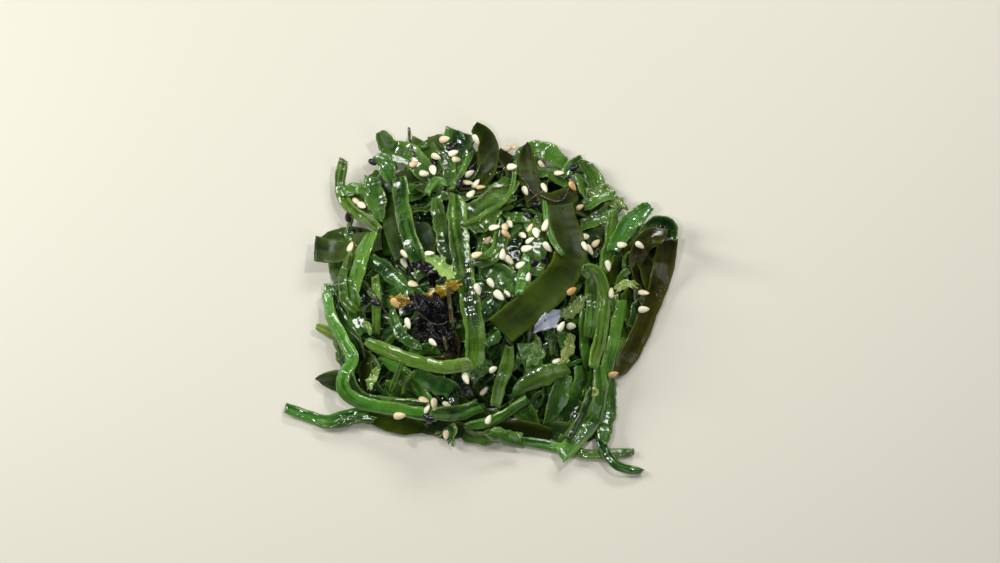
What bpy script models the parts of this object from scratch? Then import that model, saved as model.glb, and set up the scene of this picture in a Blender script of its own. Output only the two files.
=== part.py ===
"""A serving of wakame: cut seaweed strips heaped in a loose mound, dressed with sesame seeds.

Every large strip is an object of its own, laid on what is beneath it with a hair of air between.
The small strips of the mound's inside are one body with the packed mass that they stand out of.
X is to the right, Y is away from the eater, Z is up, and the mound stands on the plane Z = 0.
The lengths below are millimetres, and the objects are built in metres.
"""

import math

import bmesh
import bpy
import numpy as np

MM = 0.001

# The strips' places are given as seen by someone who looks down on the heap at this angle:
# across to the right, and up the field of view, from the middle of the heap's foot.
SIGHT_ANGLE = math.radians(76.0)

# The packed mass inside: half its length, half its width, its height, and the shape of its dome
CORE_HALF_LENGTH = 34.0
CORE_HALF_WIDTH = 30.0
CORE_HEIGHT = 19.0
CORE_POWER = 2.4
CORE_SIDES = 24
CORE_RINGS = 10

# The whole heap, strips included: a wider dome that the strips lean to
HEAP_HALF_LENGTH = 44.0
HEAP_HALF_WIDTH = 39.0
HEAP_HEIGHT = 28.0
LEAN_SHARE = 0.75
LEAN_MOST = math.radians(42.0)

# Small strips that stand out of the packed mass
INNER_COUNT = 54
INNER_SEED = 11
INNER_STATIONS = 7
INNER_LENGTH = (18.0, 34.0)
INNER_WIDTH = (3.4, 5.6)
INNER_CREST = 1.3
INNER_EDGE = 0.35
INNER_KEEL = 1.4
FOOT_CLEARANCE = 0.3

# How strips are laid
STATION_STEP = 3.4
SAMPLES_ALONG = 7
AIR = 0.45
CELL = 0.4
FIELD_X = (-60.0, 60.0)
FIELD_Y = (-56.0, 56.0)
SETTLING_ROUNDS = 900

# Sesame seeds: half their length, width and height, and how far their middle is over the strip
SEED_RADII = (1.65, 1.0, 0.68)
SEED_RISE = 0.22
SEED_SIDES = 6
SEED_RINGS = 3

# What each kind of strip is: thickness at its middle and its edges, points across it, how far
# it droops between what it lies on, how much its edges wave up and down, and in and out
KINDS = {
    "midrib_strip": dict(middle=1.7, edge=0.7, points=3, limp=0.007, frill=0.0, notch=0.04),
    "green_strip": dict(middle=0.9, edge=0.7, points=3, limp=0.012, frill=0.35, notch=0.10),
    "olive_leaf": dict(middle=0.75, edge=0.7, points=5, limp=0.010, frill=0.2, notch=0.03),
    "pale_scrap": dict(middle=0.9, edge=0.7, points=3, limp=0.012, frill=0.6, notch=0.25),
    "amber_scrap": dict(middle=0.9, edge=0.7, points=3, limp=0.010, frill=0.6, notch=0.25),
}

# Colour, roughness, for each kind and for the bodies that are not strips
COLOURS = {
    "midrib_strip": ((0.075, 0.22, 0.035), 0.25),
    "green_strip": ((0.03, 0.12, 0.025), 0.25),
    "olive_leaf": ((0.035, 0.055, 0.01), 0.28),
    "pale_scrap": ((0.20, 0.30, 0.06), 0.3),
    "amber_scrap": ((0.30, 0.14, 0.02), 0.3),
    "wood_ear": ((0.012, 0.009, 0.010), 0.2),
    "packed_strips": ((0.02, 0.075, 0.015), 0.3),
}


def strip(kind, width, seen, lift=(0.0, 0.0, 0.0), roll=(0.0, 0.0), curl=0.0, ends=(0.6, 0.6)):
    """One strip: its kind, its width, the places that its centreline is seen at, how far its
    start, middle and end spring up from where it lies, how far it rolls about its own line in
    degrees, how far its edges curl up, as a share of its half width, and its ends' widths."""
    return dict(kind=kind, width=width, seen=seen, lift=lift, roll=roll, curl=curl, ends=ends)


# The strips from the lowest to the topmost
STRIPS = (
    strip("midrib_strip", 2.9, ends=(0.9, 0.9), seen=(
        (-48.5, -27.2), (-43.5, -29.0), (-38.5, -30.2), (-33.5, -29.0), (-28.0, -27.5),
    )),
    strip("olive_leaf", 7.0, roll=(0, 10), ends=(0.1, 1.0), seen=(
        (-41.0, -20.2), (-37.5, -20.4), (-33.0, -20.6),
    )),
    strip("olive_leaf", 4.5, lift=(0, 1, 0), seen=(
        (-28.0, -29.6), (-21.0, -31.2), (-14.0, -31.0),
    )),
    strip("midrib_strip", 2.6, ends=(0.8, 0.8), seen=(
        (4.0, -33.4), (12.0, -35.2), (20.0, -37.0),
    )),
    strip("midrib_strip", 2.4, ends=(0.8, 0.7), seen=(
        (21.5, -37.6), (28.0, -38.6), (33.0, -38.2), (37.3, -38.0),
    )),
    strip("midrib_strip", 2.4, ends=(0.9, 0.6), seen=(
        (28.5, -31.5), (30.2, -37.5), (33.5, -41.6), (39.3, -42.8),
    )),
    strip("green_strip", 4.0, curl=0.3, seen=(
        (-6.0, -30.4), (-1.0, -33.0), (4.5, -32.6),
    )),
    strip("green_strip", 4.6, curl=-0.4, ends=(0.7, 0.9), seen=(
        (2.0, -33.0), (6.0, -34.8), (9.8, -36.0),
    )),
    strip("olive_leaf", 7.6, lift=(3.5, 0, 0), curl=0.1, ends=(0.9, 0.8), seen=(
        (-41.8, 11.5), (-36.5, 13.0), (-31.0, 15.5), (-25.0, 17.0),
    )),
    strip("green_strip", 7.0, lift=(4, 0, 0), curl=-0.2, ends=(0.9, 0.8), seen=(
        (-6.0, 43.2), (-6.4, 39.0), (-7.4, 33.0),
    )),
    strip("olive_leaf", 5.4, lift=(5, 3, 0), roll=(-15, 25), curl=0.2, seen=(
        (-2.6, 42.6), (1.2, 39.6), (1.6, 35.2), (-1.5, 31.0),
    )),
    strip("green_strip", 4.6, lift=(2, 3.0, 0), roll=(15, 20), curl=0.2, seen=(
        (8.5, 36.0), (14.5, 37.0), (21.2, 33.6),
    )),
    strip("green_strip", 6.0, lift=(0, 1.5, 0), curl=-0.2, seen=(
        (12.0, 32.6), (17.0, 32.8), (22.0, 30.0),
    )),
    strip("olive_leaf", 5.4, lift=(3, 1, 0), roll=(-10, 25), ends=(0.3, 0.9), seen=(
        (10.8, 36.8), (11.6, 32.0), (13.5, 26.0),
    )),
    strip("green_strip", 6.0, lift=(5, 2, 0), roll=(-10, 20), curl=0.2, ends=(0.4, 0.8), seen=(
        (-25.8, 40.6), (-22.8, 36.8), (-18.0, 35.4), (-13.2, 32.6),
    )),
    strip("green_strip", 5.2, lift=(3.5, 1.5, 0), curl=0.3, ends=(0.3, 0.8), seen=(
        (25.2, 33.4), (27.8, 29.6), (28.2, 24.2),
    )),
    strip("green_strip", 5.0, lift=(1, 4, 2), roll=(10, 30), curl=0.3, seen=(
        (39.8, 14.0), (43.0, 17.6), (46.8, 16.8), (47.4, 12.6),
    )),
    strip("green_strip", 4.2, lift=(0, 2, 2), curl=0.3, seen=(
        (24.5, 21.0), (30.0, 21.8), (35.3, 23.8),
    )),
    strip("olive_leaf", 6.2, lift=(3, 1.5, 0.5), roll=(-10, 15), curl=0.1, ends=(0.9, 0.6), seen=(
        (46.3, 13.0), (45.0, 6.0), (42.2, -1.0), (39.0, -8.5), (33.8, -17.6),
    )),
    strip("olive_leaf", 4.8, lift=(2, 2, 0), roll=(10, -20), curl=0.2, ends=(0.8, 0.7), seen=(
        (45.6, 12.4), (41.2, 12.8), (38.2, 9.5), (39.4, 4.0),
    )),
    strip("pale_scrap", 3.2, lift=(1, 0, 0), ends=(0.5, 0.9), seen=(
        (-41.2, -6.6), (-38.0, -7.0), (-34.0, -8.8),
    )),
    strip("olive_leaf", 6.4, lift=(0, 1, 1), roll=(0, 10), seen=(
        (14.0, 26.8), (18.5, 25.6), (23.4, 27.4),
    )),
    strip("green_strip", 6.6, curl=0.1, ends=(0.7, 0.6), seen=(
        (7.5, 31.0), (3.2, 27.0), (-0.6, 23.8), (-3.8, 18.6),
    )),
    strip("green_strip", 5.2, roll=(0, 10), curl=-0.2, seen=(
        (15.0, 22.5), (13.8, 15.5), (13.0, 7.5),
    )),
    strip("green_strip", 6.2, roll=(-8, 8), seen=(
        (0.5, 10.0), (5.5, 7.2), (9.8, 2.6),
    )),
    strip("green_strip", 5.2, curl=-0.3, seen=(
        (-2.0, -3.8), (1.6, -0.8), (4.8, 3.0),
    )),
    strip("midrib_strip", 4.2, lift=(1, 1, 0), seen=(
        (32.6, 21.4), (32.2, 16.0), (30.2, 9.5),
    )),
    strip("green_strip", 4.8, lift=(0, 1.5, 3.5), curl=0.3, ends=(0.6, 0.6), seen=(
        (32.4, 13.4), (36.8, 18.0), (42.0, 20.8),
    )),
    strip("green_strip", 4.2, roll=(10, 0), curl=-0.2, seen=(
        (32.0, -18.6), (31.8, -25.0), (30.8, -31.0), (29.8, -36.2),
    )),
    strip("midrib_strip", 4.0, lift=(1.5, 0, 0), ends=(0.7, 0.7), seen=(
        (34.8, 1.4), (33.6, -5.0), (32.2, -11.0), (30.6, -18.0), (29.4, -24.5),
    )),
    strip("green_strip", 4.6, roll=(-20, 10), curl=-0.2, ends=(0.7, 0.2), seen=(
        (24.8, -14.2), (23.8, -22.0), (20.6, -27.6), (16.2, -31.4),
    )),
    strip("green_strip", 4.8, roll=(0, -12), curl=0.3, ends=(0.6, 0.2), seen=(
        (20.4, -16.6), (18.6, -23.0), (15.6, -30.2),
    )),
    strip("green_strip", 5.0, roll=(0, 15), curl=0.2, ends=(0.7, 0.1), seen=(
        (8.2, -21.4), (11.4, -26.8), (14.6, -31.4),
    )),
    strip("green_strip", 5.0, lift=(0, 1, 0), roll=(10, -10), curl=-0.3, ends=(0.6, 0.3), seen=(
        (21.4, -15.4), (14.5, -17.6), (7.6, -21.8),
    )),
    strip("midrib_strip", 3.2, ends=(0.7, 0.9), seen=(
        (26.6, -23.6), (24.6, -29.5), (20.8, -35.2),
    )),
    strip("midrib_strip", 4.3, lift=(0, 0, 0.8), ends=(0.6, 1.0), seen=(
        (29.0, -16.0), (28.0, -25.6), (25.4, -32.8), (19.4, -39.2),
    )),
    strip("midrib_strip", 2.8, ends=(0.6, 0.6), seen=(
        (10.8, -23.4), (6.6, -26.6), (2.0, -29.0), (-4.0, -30.6),
    )),
    strip("pale_scrap", 5.0, lift=(0, 1, 0), ends=(1.0, 0.3), seen=(
        (-11.6, -29.2), (-8.4, -31.6), (-8.2, -35.2),
    )),
    strip("midrib_strip", 3.6, ends=(0.7, 0.7), seen=(
        (-24.5, -12.2), (-19.0, -16.0), (-15.0, -20.6), (-11.2, -27.2),
    )),
    strip("green_strip", 5.0, curl=0.2, ends=(0.7, 1.0), seen=(
        (-16.4, -16.6), (-11.5, -18.6), (-7.2, -20.0),
    )),
    strip("midrib_strip", 2.6, ends=(0.7, 0.7), seen=(
        (-32.6, -19.0), (-30.6, -23.6), (-25.0, -24.4), (-18.0, -24.4), (-12.5, -25.6),
    )),
    strip("green_strip", 3.8, roll=(-10, 0), seen=(
        (-38.4, 5.2), (-36.4, -1.0), (-32.8, -6.2), (-29.6, -12.5),
    )),
    strip("midrib_strip", 4.0, ends=(0.7, 0.8), seen=(
        (-38.8, 2.6), (-37.4, -3.6), (-34.4, -9.2), (-32.0, -14.6), (-34.2, -20.0), (-34.2, -24.0),
        (-30.4, -26.8), (-24.0, -27.0), (-17.0, -27.8), (-12.0, -28.6),
    )),
    strip("midrib_strip", 4.2, lift=(0, 0.5, 0), ends=(0.7, 0.9), seen=(
        (-12.4, -28.8), (-6.0, -27.0), (-0.6, -24.2),
    )),
    strip("olive_leaf", 4.2, lift=(2, 0, 0), roll=(0, -18), ends=(0.5, 0.8), seen=(
        (-25.0, 31.6), (-23.6, 25.0), (-22.2, 19.0), (-20.0, 12.5),
    )),
    strip("midrib_strip", 4.3, lift=(1, 0.5, 0), ends=(0.9, 0.7), seen=(
        (-20.6, 29.8), (-19.8, 24.0), (-18.0, 17.0), (-14.8, 8.6),
    )),
    strip("green_strip", 4.2, roll=(0, 10), curl=-0.3, seen=(
        (-28.2, 12.2), (-24.6, 9.8), (-21.0, 6.6), (-17.6, 2.0),
    )),
    strip("midrib_strip", 4.6, lift=(0.5, 1, 0), ends=(0.7, 0.6), seen=(
        (-27.6, 17.4), (-29.8, 12.0), (-31.4, 6.0), (-33.4, 0.4),
    )),
    strip("midrib_strip", 2.8, lift=(4, 1, 0), ends=(0.8, 0.8), seen=(
        (-34.8, 33.6), (-35.6, 29.0), (-35.0, 25.0), (-32.0, 22.2), (-28.6, 20.8), (-25.6, 18.6),
    )),
    strip("green_strip", 3.6, roll=(0, -15), curl=0.2, seen=(
        (-11.5, 26.6), (-10.0, 19.4), (-8.6, 12.0), (-6.4, 4.0),
    )),
    strip("midrib_strip", 4.4, lift=(0, 1.5, 0), ends=(0.6, 0.6), seen=(
        (-6.4, 26.4), (-5.8, 18.0), (-4.8, 10.0), (-3.2, 2.0), (-1.8, -6.0), (-1.6, -12.0),
        (-3.0, -18.4),
    )),
    strip("midrib_strip", 3.8, lift=(0, 0.6, 0), ends=(0.6, 0.7), seen=(
        (4.8, 19.2), (4.2, 14.2), (1.4, 11.2), (-2.4, 10.2),
    )),
    strip("midrib_strip", 3.8, lift=(0, 0, 1.2), ends=(0.6, 1.0), seen=(
        (-28.4, -8.8), (-23.0, -11.0), (-18.0, -13.0), (-12.0, -15.0), (-7.0, -15.7), (-2.6, -15.6),
    )),
    strip("amber_scrap", 3.2, lift=(0, 1, 1), roll=(0, 20), ends=(0.3, 0.6), seen=(
        (-22.2, 1.2), (-16.0, 0.9), (-11.0, 2.6), (-5.6, 4.6),
    )),
    strip("midrib_strip", 3.8, lift=(0, 1.0, 0), ends=(0.8, 0.7), seen=(
        (23.2, 8.8), (28.0, 8.8), (30.4, 3.6), (30.0, -3.0), (29.2, -9.0), (27.4, -16.6),
    )),
    strip("midrib_strip", 3.4, ends=(0.7, 0.7), seen=(
        (6.8, -9.8), (6.2, -14.5), (4.6, -19.0), (3.4, -25.2),
    )),
    strip("olive_leaf", 8.4, lift=(0, 3.0, 1), roll=(10, -12), curl=0.1, ends=(0.8, 1.0), seen=(
        (19.2, 24.0), (20.6, 18.5), (21.8, 12.2), (18.6, 5.4), (11.8, -0.6), (4.4, -6.2),
    )),
)

# Wood ear shreds, all of one tuft: each one's width and the places that it is seen at
WOOD_EAR = (
    (3.6, ((-18.5, -3.4), (-13.5, -3.0), (-8.2, -5.6))),
    (3.4, ((-15.8, 1.0), (-13.2, -4.0), (-13.4, -9.8))),
    (2.2, ((-8.6, 0.4), (-11.5, -3.5), (-16.6, -6.6))),
    (2.2, ((-7.0, -10.0), (-10.6, -6.2), (-12.0, 0.4))),
    (2.0, ((-16.8, -9.4), (-12.0, -6.4), (-7.2, -1.6))),
)
WOOD_EAR_THICKNESS = 1.0
WOOD_EAR_TWIST = 14.0

# Where the seeds are seen, and which way each points, in degrees from the right
SEEDS = (
    (-9.3, 40.2, 10), (-7.2, 36.8, 20), (-6.5, 35.1, 10), (-11.5, 35.6, -25), (-12.2, 32.3, -70),
    (-14.6, 31.6, 5), (-27.2, 34.6, -20), (-1.3, 38.2, -80), (-3.3, 31.3, 10), (-1.4, 28.6, 60),
    (-2.7, 25.7, 65), (-31.4, 24.0, -30), (-32.6, 13.2, 75), (-19.0, 11.0, -35), (-19.0, 8.8, -60),
    (-12.9, 11.2, 0), (6.3, 37.2, 30), (7.6, 33.1, -10), (14.7, 33.6, -20), (19.3, 31.5, 0),
    (22.4, 28.2, -30), (10.8, 27.2, -65), (15.4, 27.8, -90), (24.3, 22.0, 10), (3.2, 17.7, -10),
    (6.4, 18.2, -75), (12.1, 17.8, 50), (10.2, 15.8, -60), (13.4, 16.5, -80), (12.0, 14.3, 10),
    (15.8, 18.3, 65), (11.2, 12.4, 10), (16.4, 11.4, -55), (6.5, 9.7, -30), (9.7, 8.5, 15),
    (13.0, 9.1, 0), (11.3, 5.6, 75), (28.3, 13.8, 40), (26.6, 12.3, -30), (34.8, 13.6, 10),
    (39.3, 13.6, -45), (31.2, 8.2, -80), (22.0, 2.0, 20), (31.9, 1.5, 75), (40.3, 1.0, -25),
    (40.1, -2.6, 0), (-1.2, 2.6, -50), (2.3, 4.1, -60), (1.5, 13.4, 40), (6.0, 1.4, 60),
    (-18.0, -5.8, -75), (-11.8, -11.7, -20), (-21.3, -1.2, -60), (-3.7, -21.8, -65),
    (0.4, -22.6, 30), (-14.3, -25.0, -40), (-12.0, -26.4, -80), (1.7, -29.7, 65),
    (-8.9, -33.4, -90), (2.6, -17.5, 0), (19.4, -7.0, 65), (22.0, -6.8, -25), (18.5, -15.3, 60),
)


def clear_scene():
    for obj in list(bpy.data.objects):
        bpy.data.objects.remove(obj)


def material(name):
    """The plain finish of one kind of piece."""
    colour, roughness = COLOURS[name]
    made = bpy.data.materials.get(name)
    if made is None:
        made = bpy.data.materials.new(name)
        made.use_nodes = True
        shader = made.node_tree.nodes["Principled BSDF"]
        shader.inputs["Base Color"].default_value = (*colour, 1.0)
        shader.inputs["Roughness"].default_value = roughness
        shader.inputs["Metallic"].default_value = 0.0
    return made


def dome_height(x, y, half_length, half_width, height):
    """Height of a dome over a point: it falls from its top to its rim by a power of the share
    of the way out."""
    out = np.hypot(x / half_length, y / half_width)
    return height * (1.0 - np.minimum(out, 1.0) ** CORE_POWER)


def core_height(x, y):
    return dome_height(x, y, CORE_HALF_LENGTH, CORE_HALF_WIDTH, CORE_HEIGHT)


def heap_height(x, y):
    return dome_height(x, y, HEAP_HALF_LENGTH, HEAP_HALF_WIDTH, HEAP_HEIGHT)


def plan_places(seen):
    """Points in plan of places as they are seen: each is followed down the line of sight until
    it meets the heap's dome."""
    across, up = np.array(seen, float).T
    y = up / math.sin(SIGHT_ANGLE)
    for _ in range(12):
        y = (up - heap_height(across, y) * math.cos(SIGHT_ANGLE)) / math.sin(SIGHT_ANGLE)
    return np.stack([across, y], axis=1)


def smooth_line(points, step):
    """A Catmull-Rom curve through points, as points at equal steps along it."""
    ends = np.array([2 * points[0] - points[1], *points, 2 * points[-1] - points[-2]])
    share = np.linspace(0.0, 1.0, 24, endpoint=False)[:, None]
    runs = []
    for before, start, end, after in zip(ends, ends[1:], ends[2:], ends[3:]):
        runs.append(
            0.5 * (
                2 * start + (end - before) * share
                + (2 * before - 5 * start + 4 * end - after) * share**2
                + (3 * start - before - 3 * end + after) * share**3
            )
        )
    line = np.concatenate([*runs, points[-1:]])
    gone = np.concatenate([[0.0], np.cumsum(np.linalg.norm(np.diff(line, axis=0), axis=1))])
    count = max(4, round(gone[-1] / step) + 1)
    at = np.linspace(0.0, gone[-1], count)
    return np.stack([np.interp(at, gone, axis) for axis in line.T], axis=1), gone[-1]


def sideways(line):
    """The unit direction to the left of a line in plan, at each of its points."""
    along = np.gradient(line, axis=0)
    along /= np.linalg.norm(along, axis=1)[:, None]
    return np.stack([-along[:, 1], along[:, 0]], axis=1)


def lean(line, left):
    """How far a strip rolls, in radians, to lie along the slope of the heap across it."""
    reach = 3.0
    rise = heap_height(*(line + reach * left).T) - heap_height(*(line - reach * left).T)
    return np.clip(np.arctan(LEAN_SHARE * rise / (2 * reach)), -LEAN_MOST, LEAN_MOST)


def strip_sections(piece, number):
    """The strip's upper and lower faces, as arrays of stations, points across and x, y, z, with z
    counted from its centreline. Each section is a flat or lens-shaped cut, curled by the square
    of the share across, waved at its edges, and rolled about the centreline."""
    kind = KINDS[piece["kind"]]
    line, length = smooth_line(plan_places(piece["seen"]), STATION_STEP)
    left = sideways(line)
    share = np.linspace(0.0, 1.0, len(line))
    across = np.linspace(-1.0, 1.0, kind["points"])

    start, end = piece["ends"]
    near_start = np.clip(share * length / piece["width"], 0.0, 1.0)
    near_end = np.clip((1.0 - share) * length / piece["width"], 0.0, 1.0)
    taper = (start + (1 - start) * near_start**0.6) * (end + (1 - end) * near_end**0.6)
    wave = np.sin(share * length * 0.9 + number * 2.4)[:, None] * across
    half = 0.5 * piece["width"] * taper[:, None] * (1.0 + kind["notch"] * wave)

    ripple = np.sin(share * length * 0.75 + number)[:, None]
    frill = kind["frill"] * ripple * across**2 * np.sign(across + 0.3)
    bend = piece["curl"] * 0.5 * piece["width"] * taper[:, None] * across**2 + frill
    thick = kind["edge"] + (kind["middle"] - kind["edge"]) * (1.0 - across**2)
    roll = lean(line, left) + np.radians(np.interp(share, (0, 1), piece["roll"]))
    faces = []
    for side in (0.5, -0.5):
        out = across * half
        up = bend + side * thick
        aside = out * np.cos(roll)[:, None] - up * np.sin(roll)[:, None]
        rise = out * np.sin(roll)[:, None] + up * np.cos(roll)[:, None]
        plan = line[:, None, :] + aside[..., None] * left[:, None, :]
        faces.append(np.concatenate([plan, rise[..., None]], axis=2))
    return faces, length


def filled(face, along, across):
    """A face's points with others put between them on straight lines, both ways."""
    def between(points, count):
        share = np.linspace(0.0, 1.0, count, endpoint=False).reshape(-1, *[1] * (points.ndim - 1))
        runs = points[:-1, None] * (1 - share) + points[1:, None] * share
        return np.concatenate([runs.reshape(-1, *points.shape[1:]), points[-1:]])
    return between(between(face, along).swapaxes(0, 1), across).swapaxes(0, 1)


class Relief:
    """The height of the heap so far, on a grid of small cells over the table."""

    def __init__(self):
        columns = round((FIELD_X[1] - FIELD_X[0]) / CELL)
        rows = round((FIELD_Y[1] - FIELD_Y[0]) / CELL)
        self.height = np.zeros((columns, rows))
        self.owner = np.full((columns, rows), -1)
        self.spread = self.height

    def cells(self, x, y):
        column = np.clip(((x - FIELD_X[0]) / CELL).astype(int), 0, self.height.shape[0] - 1)
        row = np.clip(((y - FIELD_Y[0]) / CELL).astype(int), 0, self.height.shape[1] - 1)
        return column, row

    def under(self, x, y):
        """The highest point in a cell or its neighbours."""
        return self.spread[self.cells(x, y)]

    def add(self, points, owner):
        x, y, z = points.reshape(-1, 3).T
        column, row = self.cells(x, y)
        before = self.height.copy()
        np.maximum.at(self.height, (column, row), z)
        self.owner[self.height > before] = owner
        self.spread = self.height.copy()
        for axis in (0, 1):
            wide = self.spread.copy()
            for shift in (-1, 1):
                wide = np.maximum(wide, np.roll(self.spread, shift, axis))
            self.spread = wide


def blurred(values):
    padded = np.pad(values, 1, mode="edge")
    return 0.25 * padded[:-2] + 0.5 * values + 0.25 * padded[2:]


def highest_near(values, reach):
    padded = np.pad(values, reach, mode="edge")
    return np.max([padded[k:k + len(values)] for k in range(2 * reach + 1)], axis=0)


def lay(piece, faces, relief):
    """Heights of a strip's stations, laid on the heap: it sinks like a slack band on to what is
    under it, its lower face clear by AIR, and then springs up by its lifts."""
    upper, lower = faces
    fine = filled(lower, SAMPLES_ALONG, max(2, round(piece["width"] / lower.shape[1] / CELL) + 1))
    least = (relief.under(fine[..., 0], fine[..., 1]) - fine[..., 2]).max(axis=1) + AIR
    bed = least
    for _ in range(3):
        bed = np.maximum(least, blurred(highest_near(bed, 1)))
    height = highest_near(bed, 2 * SAMPLES_ALONG)
    limp = KINDS[piece["kind"]]["limp"]
    for _ in range(SETTLING_ROUNDS):
        height = np.maximum(bed, blurred(height) - limp)

    stations = len(lower)
    at = np.linspace(0.0, 1.0, stations)
    share = np.linspace(0.0, 1.0, len(height))
    levels = height[::SAMPLES_ALONG].copy()
    for _ in range(4):
        short = np.maximum(least - np.interp(share, at, levels), 0.0)
        levels += highest_near(short, SAMPLES_ALONG)[::SAMPLES_ALONG]
    start, middle, end = piece["lift"]
    springing = start * np.clip(1 - 2.2 * at, 0, 1) ** 2 + end * np.clip(2.2 * at - 1.2, 0, 1) ** 2
    return levels + springing + middle * np.sin(np.pi * at) ** 2


def loft(upper, lower):
    """Vertices and triangles of the closed body between two faces: the faces, split alike, a wall
    down each side and a cap at each end."""
    stations, points = upper.shape[:2]
    vertices = np.concatenate([upper.reshape(-1, 3), lower.reshape(-1, 3)])
    top = np.arange(stations * points).reshape(stations, points)
    under = top + stations * points

    def cells(grid):
        a, b, c, d = grid[:-1, :-1], grid[1:, :-1], grid[1:, 1:], grid[:-1, 1:]
        halves = [np.stack([a, b, c], -1), np.stack([a, c, d], -1)]
        return np.concatenate([half.reshape(-1, 3) for half in halves])

    rims = [
        np.stack([under[:, 0], top[:, 0]], 1),
        np.stack([top[:, -1], under[:, -1]], 1),
        np.stack([top[0], under[0]], 1),
        np.stack([under[-1], top[-1]], 1),
    ]
    faces = [cells(top)[:, ::-1], cells(under), *[cells(rim)[:, ::-1] for rim in rims]]
    return vertices, np.concatenate(faces)


def add_object(name, vertices, faces, kind, collection):
    """An object of triangles, given in millimetres, with its normals facing out."""
    mesh = bpy.data.meshes.new(name)
    mesh.from_pydata((np.asarray(vertices) * MM).tolist(), [], np.asarray(faces).tolist())
    work = bmesh.new()
    work.from_mesh(mesh)
    bmesh.ops.remove_doubles(work, verts=work.verts, dist=0.002 * MM)
    bmesh.ops.recalc_face_normals(work, faces=work.faces)
    work.to_mesh(mesh)
    work.free()
    mesh.materials.append(material(kind))
    obj = bpy.data.objects.new(name, mesh)
    collection.objects.link(obj)
    return obj


def join(obj, others):
    """Fuses the other objects into obj with one union, applies it, and keeps the largest body."""
    if not others:
        return
    tools = bpy.data.collections.new(obj.name + "_joined")
    for other in others:
        tools.objects.link(other)
    union = obj.modifiers.new("union", "BOOLEAN")
    union.operation = "UNION"
    union.operand_type = "COLLECTION"
    union.collection = tools
    union.solver = "MANIFOLD"
    bpy.context.view_layer.update()
    graph = bpy.context.evaluated_depsgraph_get()
    fused = bpy.data.meshes.new_from_object(obj.evaluated_get(graph))
    obj.modifiers.clear()
    obj.data = fused
    for other in others:
        bpy.data.objects.remove(other)
    bpy.data.collections.remove(tools)
    keep_largest(obj.data)


def keep_largest(mesh):
    """Drops the scraps that a union leaves loose, or seals inside."""
    work = bmesh.new()
    work.from_mesh(mesh)
    work.verts.ensure_lookup_table()
    left = set(work.verts)
    bodies = []
    while left:
        body, front = set(), [left.pop()]
        while front:
            vertex = front.pop()
            body.add(vertex)
            for edge in vertex.link_edges:
                other = edge.other_vert(vertex)
                if other in left:
                    left.remove(other)
                    front.append(other)
        bodies.append(body)
    largest = max(bodies, key=len)
    scraps = [vertex for vertex in work.verts if vertex not in largest]
    bmesh.ops.delete(work, geom=scraps, context="VERTS")
    work.to_mesh(mesh)
    work.free()


def core_object(collection):
    """The packed mass: a ball whose upper half is drawn to the dome and whose lower half is
    pressed flat on the table."""
    mesh = bpy.data.meshes.new("packed_strips")
    work = bmesh.new()
    bmesh.ops.create_uvsphere(work, u_segments=CORE_SIDES, v_segments=CORE_RINGS, radius=1.0)
    for vertex in work.verts:
        x = vertex.co.x * CORE_HALF_LENGTH
        y = vertex.co.y * CORE_HALF_WIDTH
        z = float(core_height(x, y)) if vertex.co.z > 0.01 else 0.0
        vertex.co = (x * MM, y * MM, z * MM)
    work.to_mesh(mesh)
    work.free()
    mesh.materials.append(material("packed_strips"))
    obj = bpy.data.objects.new("packed_strips", mesh)
    collection.objects.link(obj)
    return obj


def inner_strips():
    """The small strips on the packed mass, as lines in plan with a width: arcs of random turn
    from random places, drawn from one seeded source."""
    draw = np.random.default_rng(INNER_SEED)
    made = []
    for number in range(INNER_COUNT):
        out = math.sqrt((number + 0.5) / INNER_COUNT) * 0.86
        round_about = number * 2.39996 + draw.uniform(-0.3, 0.3)
        heading = draw.uniform(0.0, 2 * math.pi)
        turn = draw.uniform(-1.9, 1.9)
        length = draw.uniform(*INNER_LENGTH)
        share = np.linspace(-0.5, 0.5, INNER_STATIONS)
        angle = heading + turn * share
        steps = np.stack([np.cos(angle), np.sin(angle)], 1) * length / (INNER_STATIONS - 1)
        line = np.cumsum(steps, axis=0)
        middle = np.array([CORE_HALF_LENGTH * math.cos(round_about), CORE_HALF_WIDTH * math.sin(round_about)])
        line += out * middle - line.mean(axis=0)
        made.append((line, draw.uniform(*INNER_WIDTH)))
    return made


def inner_sections(line, width):
    """Upper and lower faces of a small strip: a ridge whose crest stands out of the packed mass
    and whose keel is sunk in it."""
    left = sideways(line)
    across = np.array([-1.0, 0.0, 1.0])
    taper = np.sin(np.pi * np.linspace(0.08, 0.92, len(line))) ** 0.5
    plan = line[:, None, :] + (across * 0.5 * width * taper[:, None])[..., None] * left[:, None, :]
    ground = core_height(plan[..., 0], plan[..., 1])
    crest = INNER_EDGE + (INNER_CREST - INNER_EDGE) * (1 - across**2)
    top = np.maximum(ground + crest, FOOT_CLEARANCE + 0.5 + crest)
    keel = np.maximum(ground[:, 1:2] - INNER_KEEL, FOOT_CLEARANCE)
    upper = np.concatenate([plan, top[..., None]], axis=2)
    lower = np.concatenate([plan[:, 1:2], keel[..., None]], axis=2)
    return upper, lower


def ridge(upper, lower):
    """Vertices and triangles of a closed ridge: three lines of points above, one keel below."""
    stations = len(upper)
    rings = np.concatenate([upper, lower], axis=1)
    index = np.arange(stations * 4).reshape(stations, 4)
    a, b = index[:-1], np.roll(index, -1, axis=1)[:-1]
    c, d = np.roll(index, -1, axis=1)[1:], index[1:]
    sides = np.concatenate([np.stack([a, b, c], -1).reshape(-1, 3), np.stack([a, c, d], -1).reshape(-1, 3)])
    caps = []
    for ring in (index[0], index[-1][::-1]):
        caps += [ring[[0, 2, 1]], ring[[0, 3, 2]]]
    return rings.reshape(-1, 3), np.concatenate([sides, caps])


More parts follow.
